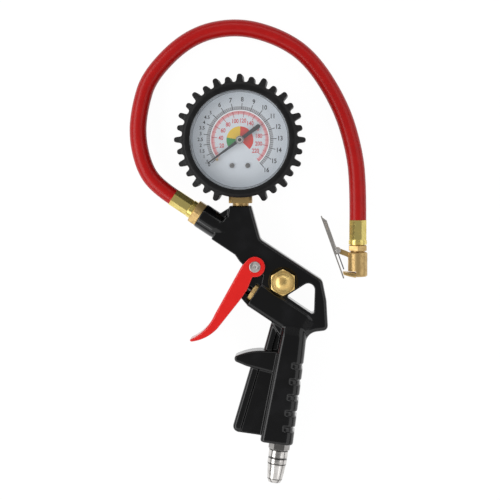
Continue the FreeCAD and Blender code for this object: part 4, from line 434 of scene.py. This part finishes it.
# The rubber is painted greyer along its edges: partly rubbed rubber, partly a painted highlight on
# the teeth's edges. The bloom is the rubber's own.
rubbed_and_sheen = black_rubber.edges(low=0.53, high=0.62)
greyed_and_sheen = rubbed_and_sheen * RUB_AND_SHEEN_STRENGTH + bloom * BLOOM_STRENGTH
black_rubber.wear(
    Base_Color=black_rubber.mix(greyed_and_sheen, RUBBER_BLACK, RUBBER_GREYED_AND_SHEEN),
    Roughness=RUBBER_ROUGHNESS + grit * GRIT_ROUGHNESS + bloom * BLOOM_ROUGHNESS)
black_rubber.bump(grit, depth=0.03 * MM)
machined("bushing_head", dull_brass, "gun", "valve_bushing", width=0.25 * MM)
machined("stem_end", plain_steel, "valve", "valve_stem", width=0.15 * MM)
machined("domed_nut", bright_brass, "gun", "cap_nut", width=0.35 * MM, segments=3)
give(black_rubber, "stem_seal_ring", "cap_nut_washer")
give(dull_brass, "valve_poppet")

pressed_spring = merged_copy("valve_spring")
for face in pressed_spring.faces:
    face.smooth = True
wound_spring = in_finish("wound_spring", pressed_spring, spring_wire)
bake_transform(wound_spring)
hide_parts("valve_spring")

# Plug. The quick-connect plug in the foot of the grip is turned from steel and nickel-plated, with
# a hexagon, a locking groove and a long nose. The hexagon and the grooves are painted dark as
# shade: the hexagon for the grip's shade on it, the grooves for the shade inside them.

PLUG_AXIS = Vector((-0.1357, -0.9907, 0))
PLUG_FOOT = 97.41 * MM
PLUG_HEXAGON_FADE = 4.4 * MM
PLUG_HEXAGON_END = 4.8 * MM
PLUG_GROOVES = [(4.9, 5.4), (9.6, 10.6), (13.6, 14.2), (23.4, 23.7)]
GROOVE_FADE = 0.25
HEXAGON_PAINTED_SHADE = 0.5
GROOVE_PAINTED_SHADE = 0.85
PAINTED_SHADE_COLOUR = paint(30, 29, 28)

nickel = metal("nickel_plate", light=paint(214, 211, 208), dark=paint(176, 172, 168), rough=0.14,
               film=0.1, stain=4 * MM)
along_plug = nickel.add("ShaderNodeVectorMath", {"operation": "DOT_PRODUCT"},
                        {0: nickel.where, 1: PLUG_AXIS}, output=1)
past_hexagon = along_plug.between(PLUG_FOOT + PLUG_HEXAGON_FADE, PLUG_FOOT + PLUG_HEXAGON_END)
# Painted shade: the hexagon under the grip and rings at the grooves are painted dark.
painted_shade = (1 - past_hexagon) * HEXAGON_PAINTED_SHADE
for start, end in PLUG_GROOVES:
    past_start = along_plug.between(PLUG_FOOT + (start - GROOVE_FADE) * MM, PLUG_FOOT + start * MM)
    past_end = along_plug.between(PLUG_FOOT + end * MM, PLUG_FOOT + (end + GROOVE_FADE) * MM)
    painted_shade += (past_start - past_end) * GROOVE_PAINTED_SHADE
nickel.wear(Base_Color=nickel.mix(painted_shade, nickel.colour, PAINTED_SHADE_COLOUR))
machined("quick_plug", nickel, "gun", "air_plug", width=0.2 * MM)

# Boot. The gauge sits in a moulded cup of black rubber with blocky teeth all round, which takes
# the knocks. The mould rounds every edge.

BOOT_VOXEL = 0.6 * MM
BOOT_ROUNDS = 3
BOOT_SHARE = 0.6

boot_skin = moulded_skin(merged_copy("gauge_boot"), BOOT_VOXEL, BOOT_ROUNDS, BOOT_SHARE)
make_piece("toothed_boot", boot_skin, black_rubber, "gun", "gauge_boot")

# Gauge case and works. A drawn steel cup holds a brass socket, a bent tube and a small movement
# between two brass plates; a ring of pale grey plastic spaces the lens off the dial.

SPACER_GREY = paint(176, 182, 188)
SPACER_PALE = paint(196, 202, 208)
SPACER_ROUGHNESS = 0.4
SATIN_ROUGHNESS = 0.15

give(plain_steel, "gauge_case")
machined("socket_block", dull_brass, "gun", "gauge_socket", width=0.3 * MM)
give(dull_brass, "bourdon_tube", "movement_frame", "pointer_spindle")
grey_plastic = Finish("grey_plastic", specular_ior_level=0.4)
satin = grey_plastic.noise(size=0.6 * MM, detail=3.0)
grey_plastic.wear(Base_Color=grey_plastic.mix(satin, SPACER_GREY, SPACER_PALE),
                  Roughness=SPACER_ROUGHNESS + satin * SATIN_ROUGHNESS)
grey_plastic.bump(satin, depth=0.01 * MM)
give(grey_plastic, "dial_spacer")

# Dial. A tin plate sprayed in pale grey-white and printed with two scales, black outside and red
# inside, round a disc in three colours. Two slotted screws hold it, and a pin stops the pointer.

FULL_TURN = 360
ARC_STEP = 3
DIAL_START = 219.0
DIAL_ZERO = 222.0
DIAL_UNIT = 16.93
DIAL_UNITS = 16
DIAL_SWEEP = DIAL_ZERO - DIAL_START - DIAL_UNIT * DIAL_UNITS
INK = 0.02 * MM
UNDER_INK = INK / 2
FIGURE_SIZE = 1.4
FIGURE_WEIGHT = 0.035
FIGURE_STEPS = 3
dial_low, dial_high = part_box("dial_plate")
dial_middle = Vector(((dial_low.x + dial_high.x) / 2, (dial_low.y + dial_high.y) / 2, dial_high.z))


def on_dial(radius, angle, lift=INK):
    """Place on the dial's face at a radius and an angle in degrees from +X."""
    turn = math.radians(angle)
    return dial_middle + Vector((radius * math.cos(turn), radius * math.sin(turn), lift))


def band(mesh, inner, outer, start, sweep, lift=INK):
    """Prints an arc between two radii."""
    ends = [mesh.verts.new(on_dial(radius, start, lift)) for radius in (inner, outer)]
    line = mesh.edges.new(ends)
    bmesh.ops.spin(mesh, geom=[*ends, line], cent=dial_middle, axis=(0, 0, 1), dvec=(0, 0, 0),
                   angle=math.radians(sweep), steps=round(abs(sweep) / ARC_STEP), use_merge=False,
                   use_normal_flip=False, use_duplicate=False)


def tick(mesh, inner, outer, angle, width):
    """Prints a line along a radius: a square one metre wide, brought to size and turned."""
    made = bmesh.ops.create_grid(mesh, x_segments=1, y_segments=1, size=0.5)["verts"]
    bmesh.ops.scale(mesh, vec=(outer - inner, width, 1), verts=made)
    bmesh.ops.rotate(mesh, cent=(0, 0, 0), matrix=Matrix.Rotation(math.radians(angle), 3, "Z"),
                     verts=made)
    bmesh.ops.translate(mesh, vec=on_dial((inner + outer) / 2, angle), verts=made)


def numeral(mesh, words, radius, angle, height, width=1.0):
    """Prints an upright number with its middle on a radius. Its font's size and weight go by its
    height, and width makes it narrower."""
    letters = bpy.data.curves.new("letters", "FONT")
    letters.body = words
    letters.size = height * FIGURE_SIZE
    letters.offset = height * FIGURE_WEIGHT
    letters.align_x = "CENTER"
    letters.align_y = "CENTER"
    letters.resolution_u = FIGURE_STEPS
    holder = bpy.data.objects.new("letters", letters)
    bpy.context.scene.collection.objects.link(holder)
    filled = holder.evaluated_get(bpy.context.evaluated_depsgraph_get())
    flat = bpy.data.meshes.new_from_object(filled)
    bpy.data.objects.remove(holder)
    flat.transform(Matrix.Translation(on_dial(radius, angle)) @ Matrix.Diagonal((width, 1, 1, 1)))
    mesh.from_mesh(flat)


def printed(name, mesh, finish, body="gun"):
    """Turns printed shapes face up and makes them a piece."""
    for face in mesh.faces:
        face.normal_update()
        if face.normal.z < 0:
            face.normal_flip()
    make_piece(name, mesh, finish, body)


def ink(name, colour, faded):
    """Screen ink: a little uneven, and matt."""
    made = Finish(name, roughness=0.5, specular_ior_level=0.3)
    speck = made.noise(size=0.3 * MM, detail=3.0)
    made.wear(Base_Color=made.mix(speck, colour, faded))
    return made


DIAL_GREY = paint(206, 213, 220)
DIAL_PALE = paint(214, 220, 227)
DIAL_DRIFT = paint(216, 222, 228)
DIAL_ROUGHNESS = 0.45
SPECKLE_ROUGHNESS = 0.1

dial_paint = Finish("dial_paint", specular_ior_level=0.4)
speckle = dial_paint.noise(size=0.4 * MM, detail=4.0)
drift = dial_paint.noise(size=22 * MM, detail=2.0)
speckled = dial_paint.mix(speckle, DIAL_GREY, DIAL_PALE)
dial_paint.wear(Base_Color=dial_paint.mix(drift, speckled, DIAL_DRIFT),
                Roughness=DIAL_ROUGHNESS + speckle * SPECKLE_ROUGHNESS)
dial_paint.bump(speckle, depth=0.01 * MM)
give(dial_paint, "dial_plate")

BLACK_FOOT = 18.4 * MM
BLACK_LINE_OUTSIDE = 18.62 * MM
LONG_MARK_END = 22.5 * MM
LONG_MARK_WIDTH = 0.42 * MM
SHORT_MARK_END = 20.5 * MM
SHORT_MARK_WIDTH = 0.2 * MM
SHORT_MARKS = 5
SMALL_FIGURES = 5
SMALL_FIGURE_RADIUS = 24.3 * MM
SMALL_FIGURE_HEIGHT = 2.05 * MM
BIG_FIGURE_RADIUS = 24.6 * MM
BIG_FIGURE_HEIGHT = 2.75 * MM
BIG_FIGURE_WIDTH = 0.9
RIM_LINE_INSIDE = 29.2 * MM
RIM_LINE_OUTSIDE = 29.45 * MM


def black_angle(units):
    """Angle of a mark of the black scale. The first lies a little nearer than the step."""
    return min(DIAL_START, DIAL_ZERO - DIAL_UNIT * units)


black_print = bmesh.new()
band(black_print, BLACK_FOOT, BLACK_LINE_OUTSIDE, DIAL_START, DIAL_SWEEP)
for mark in range(DIAL_UNITS + 1):
    tick(black_print, BLACK_FOOT, LONG_MARK_END, black_angle(mark), LONG_MARK_WIDTH)
for half in range(2 * SMALL_FIGURES + 1):
    label = f"{half / 2:g}".lstrip("0") or "0"
    numeral(black_print, label, SMALL_FIGURE_RADIUS, black_angle(half / 2), SMALL_FIGURE_HEIGHT)
for mark in range(SMALL_FIGURES + 1, DIAL_UNITS + 1):
    numeral(black_print, str(mark), BIG_FIGURE_RADIUS, black_angle(mark), BIG_FIGURE_HEIGHT,
            BIG_FIGURE_WIDTH)
for mark in range(1, SHORT_MARKS * DIAL_UNITS):
    tick(black_print, BLACK_FOOT, SHORT_MARK_END, black_angle(mark / SHORT_MARKS), SHORT_MARK_WIDTH)
# A thin dark ring near the dial's edge, just inside the spacer, drawn in the same black ink.
band(black_print, RIM_LINE_INSIDE, RIM_LINE_OUTSIDE, 0, FULL_TURN)
printed("black_scale", black_print, ink("black_ink", paint(26, 26, 30), paint(50, 50, 54)))

for name, ink_name, inner, outer, colour, faded in (
        ("grey_band", "grey_ink", 18.6, 20.5, paint(166, 168, 172), paint(184, 186, 190)),
        ("white_ring", "white_ink", 17.6, 18.4, paint(236, 238, 242), paint(246, 248, 250)),
        ("pink_band", "pink_ink", 15.6, 17.6, paint(222, 150, 154), paint(230, 170, 172))):
    under_print = bmesh.new()
    band(under_print, inner * MM, outer * MM, DIAL_START, DIAL_SWEEP, UNDER_INK)
    printed(name, under_print, ink(ink_name, colour, faded))

RED_ZERO = 221.5
RED_STEP = 23.35
RED_MARKS = 11
RED_MARK_WORTH = 20
RED_LINES = (16.65, 17.4)
RED_LINE_WIDTH = 0.2
RED_MARK_START = 13.9 * MM
RED_HALF_START = 15.1 * MM
RED_MARK_END = 17.6 * MM
RED_MARK_WIDTH = 0.36 * MM
RED_HALF_WIDTH = 0.22 * MM
RED_FIGURE_RADIUS = 11.7 * MM
RED_FIGURE_HEIGHT = 2.6 * MM
RED_FIGURE_WIDTH = 0.8

red_print = bmesh.new()
for inner in RED_LINES:
    band(red_print, inner * MM, (inner + RED_LINE_WIDTH) * MM, DIAL_START, DIAL_SWEEP)
for mark in range(1, RED_MARKS + 1):
    angle = RED_ZERO - RED_STEP * mark
    tick(red_print, RED_MARK_START, RED_MARK_END, angle, RED_MARK_WIDTH)
    numeral(red_print, str(RED_MARK_WORTH * mark), RED_FIGURE_RADIUS, angle, RED_FIGURE_HEIGHT,
            RED_FIGURE_WIDTH)
for half in range(1, 2 * RED_MARKS + 2):
    tick(red_print, RED_HALF_START, RED_MARK_END, RED_ZERO - RED_STEP * half / 2, RED_HALF_WIDTH)
printed("red_scale", red_print, ink("red_ink", paint(196, 44, 54), paint(208, 72, 80)))

DISC_HOLE = 0.4 * MM
DISC_RADIUS = 8.25 * MM

for name, start, end, colour, faded in (
        ("green_share", 216.0, 170.0, paint(34, 138, 58), paint(44, 150, 66)),
        ("yellow_share", 170.0, 88.0, paint(224, 184, 28), paint(234, 196, 44)),
        ("red_share", 88.0, -44.0, paint(206, 40, 24), paint(218, 54, 34))):
    share = bmesh.new()
    band(share, DISC_HOLE, DISC_RADIUS, start, end - start)
    printed(name, share, ink(name, colour, faded))

dark_steel = metal("dark_steel", light=paint(150, 147, 143), dark=paint(70, 68, 66), rough=0.3,
                   film=0.5, stain=1 * MM)
machined("dial_screw_head_left", dark_steel, "gun", "dial_screw_left", width=0.12 * MM)
machined("dial_screw_head_right", dark_steel, "gun", "dial_screw_right", width=0.12 * MM)
machined("stop_pin", dull_brass, "gun", "pointer_stop_pin", width=0.15 * MM)

# Pointer. A thin blade stamped from tin and painted matt black, with a round-ended tail, pressed
# on the spindle under a small bright cap. Two dark rings are painted on the cap: painted shade of a
# dimple at its middle and a painted dark reflection at the edge of its flat top.

CAP_PAINTED_SHADE_RINGS = [(0.1, 1.1), (1.95, 2.25)]

pointer_paint = ink("pointer_paint", paint(12, 12, 13), paint(26, 26, 28))
give(pointer_paint, "pointer")
machined("spindle_cap", plain_steel, "pointer", "pointer_cap", width=0.25 * MM, segments=3)
# Painted shade and reflection on the cap: a dark disc in its middle and a dark ring at the rim of
# its flat top.
cap_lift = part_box("pointer_cap")[1].z - dial_middle.z + INK
cap_painted_shade = bmesh.new()
for inner, outer in CAP_PAINTED_SHADE_RINGS:
    band(cap_painted_shade, inner * MM, outer * MM, 0, FULL_TURN, cap_lift)
printed("spindle_cap_painted_shade", cap_painted_shade, pointer_paint, "pointer")

# Lens. A flat disc of clear plastic, cut from sheet. It lies on the spacer under the boot's front
# lip, and wiping has left it faintly smeared.

LENS_CLEAR = paint(236, 242, 248)
LENS_SMEARED = paint(246, 250, 255)
LENS_ROUGHNESS = 0.05
SMEAR_ROUGHNESS = 0.06

clear_lens = Finish("clear_lens", alpha=0.06, coat_weight=1.0, coat_roughness=0.04)
smear = clear_lens.noise(size=9 * MM, detail=3.0)
clear_lens.wear(Base_Color=clear_lens.mix(smear, LENS_CLEAR, LENS_SMEARED),
                Roughness=LENS_ROUGHNESS + smear * SMEAR_ROUGHNESS)
give(clear_lens, "gauge_lens")

# Hose fittings. A hexagon nut of brass screws into the casting, and a yellow-plated ferrule is
# crimped over the hose at each end, with eight flats from the crimping jaws.

plated_brass = metal("plated_brass", light=paint(246, 226, 138), dark=paint(226, 198, 106),
                     rough=0.2, film=0.45, stain=4 * MM)
machined("hose_nut_hexagon", dull_brass, "gun", "hose_nut", width=0.35 * MM, segments=3)
machined("gun_end_ferrule", plated_brass, "gun", "gun_ferrule", width=0.25 * MM)
chuck_end_ferrule = machined("chuck_end_ferrule", plated_brass, "gun",
                             "chuck_ferrule", width=0.25 * MM)

# Chuck. A turned brass body with a lug on its side, a hexagon adapter above it and, in its mouth,
# a rubber gasket and the pin that opens the tire's valve.

adapter_hexagon = machined("adapter_hexagon", dull_brass, "gun", "chuck_adapter",
                           width=0.2 * MM)
turned_chuck = machined("turned_chuck", dull_brass, "gun", "chuck_body", width=0.25 * MM)
give(black_rubber, "chuck_gasket")
give(dull_brass, "chuck_depressor")

# Clip. A lever of folded, nickel-plated sheet turns on a riveted pin through the chuck's lug. The
# thumb presses its long end, its tail carries a forked brass claw, and a flat spring closes it.

CLAW_FILL = 0.3

nickel_sheet = metal("nickel_sheet", light=paint(236, 231, 225), dark=paint(196, 188, 180),
                     rough=0.3, film=0.6, stain=2 * MM)
folded_lever = machined("folded_lever", nickel_sheet, "clip", "clip_lever",
                        width=0.12 * MM)
claw_mesh = eased("clip_claw", width=0.2 * MM)
for vert in claw_mesh.verts:
    vert.co += vert.normal * CLAW_FILL * MM
claw_wedge = make_piece("claw_wedge", claw_mesh, dull_brass, "clip", "clip_claw")
lever_pin = machined("lever_pin", plain_steel, "gun", "clip_pivot_pin", width=0.15 * MM)
give(spring_wire, "clip_spring")

# Table. The gun lies on a plain white table between soft lamps, the strongest on the left and
# weaker ones on the right, at the foot and at the head. The camera looks down from an arm's height.

TABLE_REACH = 2.0
TABLE_DROP = 0.02 * MM
TABLE_WHITE = paint(186, 186, 187)
TABLE_PALE = paint(192, 192, 193)
TABLE_GLOW = 1.11
GLOW_SHARE = 0.87
ROOM_WHITE = (1.0, 1.0, 1.0, 1)
ROOM_LIGHT = 0.2
CAMERA_REACH = 950 * MM
CAMERA_SHIFT_X = 39 * MM
CAMERA_SHIFT_Y = 62 * MM
VIEW_WIDTH = 309.4 * MM
AIM = Vector((1.085 * MM, 18.755 * MM, 13 * MM))

white_table = Finish("white_table", roughness=0.8, specular_ior_level=0.0)
grain = white_table.noise(size=3 * MM, detail=3.0)
white_table.wear(Base_Color=white_table.mix(grain, TABLE_WHITE, TABLE_PALE))
lit_table = Term(white_table, white_table.shader.outputs["BSDF"])
glow = white_table.add("ShaderNodeEmission", None, {"Strength": TABLE_GLOW})
camera_ray, glossy_ray, glass_ray = [
    white_table.add("ShaderNodeLightPath", output=kind)
    for kind in ("Is Camera Ray", "Is Glossy Ray", "Is Transmission Ray")]
seen_glow = (camera_ray + glossy_ray + glass_ray) * GLOW_SHARE
surface = white_table.add("ShaderNodeMixShader", None, {0: seen_glow, 1: lit_table, 2: glow})
white_table.feed(white_table.nodes["Material Output"].inputs["Surface"], surface)
top = bmesh.new()
bmesh.ops.create_grid(top, x_segments=1, y_segments=1, size=TABLE_REACH)
bmesh.ops.translate(top, vec=(0, 0, -TABLE_DROP), verts=top.verts)
in_finish("table_top", top, white_table)

for name, place, length, breadth, power in (
        ("left_lamp", (-0.8, 0.0, 0.65), 1.8, 0.6, 9.0),
        ("right_lamp", (0.8, 0.0, 0.55), 1.8, 0.7, 3.5),
        ("head_lamp", (0.1, 0.9, 0.6), 1.0, 0.3, 1.5),
        ("foot_lamp", (0.0, -0.8, 0.75), 1.8, 1.0, 4.5)):
    lamp = bpy.data.lights.new(name, "AREA")
    lamp.shape = "RECTANGLE"
    lamp.size = length
    lamp.size_y = breadth
    lamp.energy = power
    stand = bpy.data.objects.new(name, lamp)
    stand.location = place
    stand.rotation_mode = "QUATERNION"
    stand.rotation_quaternion = (AIM - Vector(place)).to_track_quat("-Z", "Y")
    bpy.context.scene.collection.objects.link(stand)

room = bpy.data.worlds.new("white_room")
room.use_nodes = True
room.node_tree.nodes["Background"].inputs["Color"].default_value = ROOM_WHITE
room.node_tree.nodes["Background"].inputs["Strength"].default_value = ROOM_LIGHT
bpy.context.scene.world = room
bpy.context.scene.view_settings.view_transform = "Standard"

lens = bpy.data.cameras.new("camera")
lens.lens = lens.sensor_width * CAMERA_REACH / VIEW_WIDTH
camera = bpy.data.objects.new("camera", lens)
camera.location = AIM + Vector((CAMERA_SHIFT_X, CAMERA_SHIFT_Y, CAMERA_REACH))
back = (camera.location - AIM).normalized()
right = Vector((0, 1, 0)).cross(back).normalized()
camera.rotation_mode = "QUATERNION"
camera.rotation_quaternion = Matrix((right, back.cross(right), back)).transposed().to_quaternion()
bpy.context.scene.collection.objects.link(camera)
bpy.context.scene.camera = camera
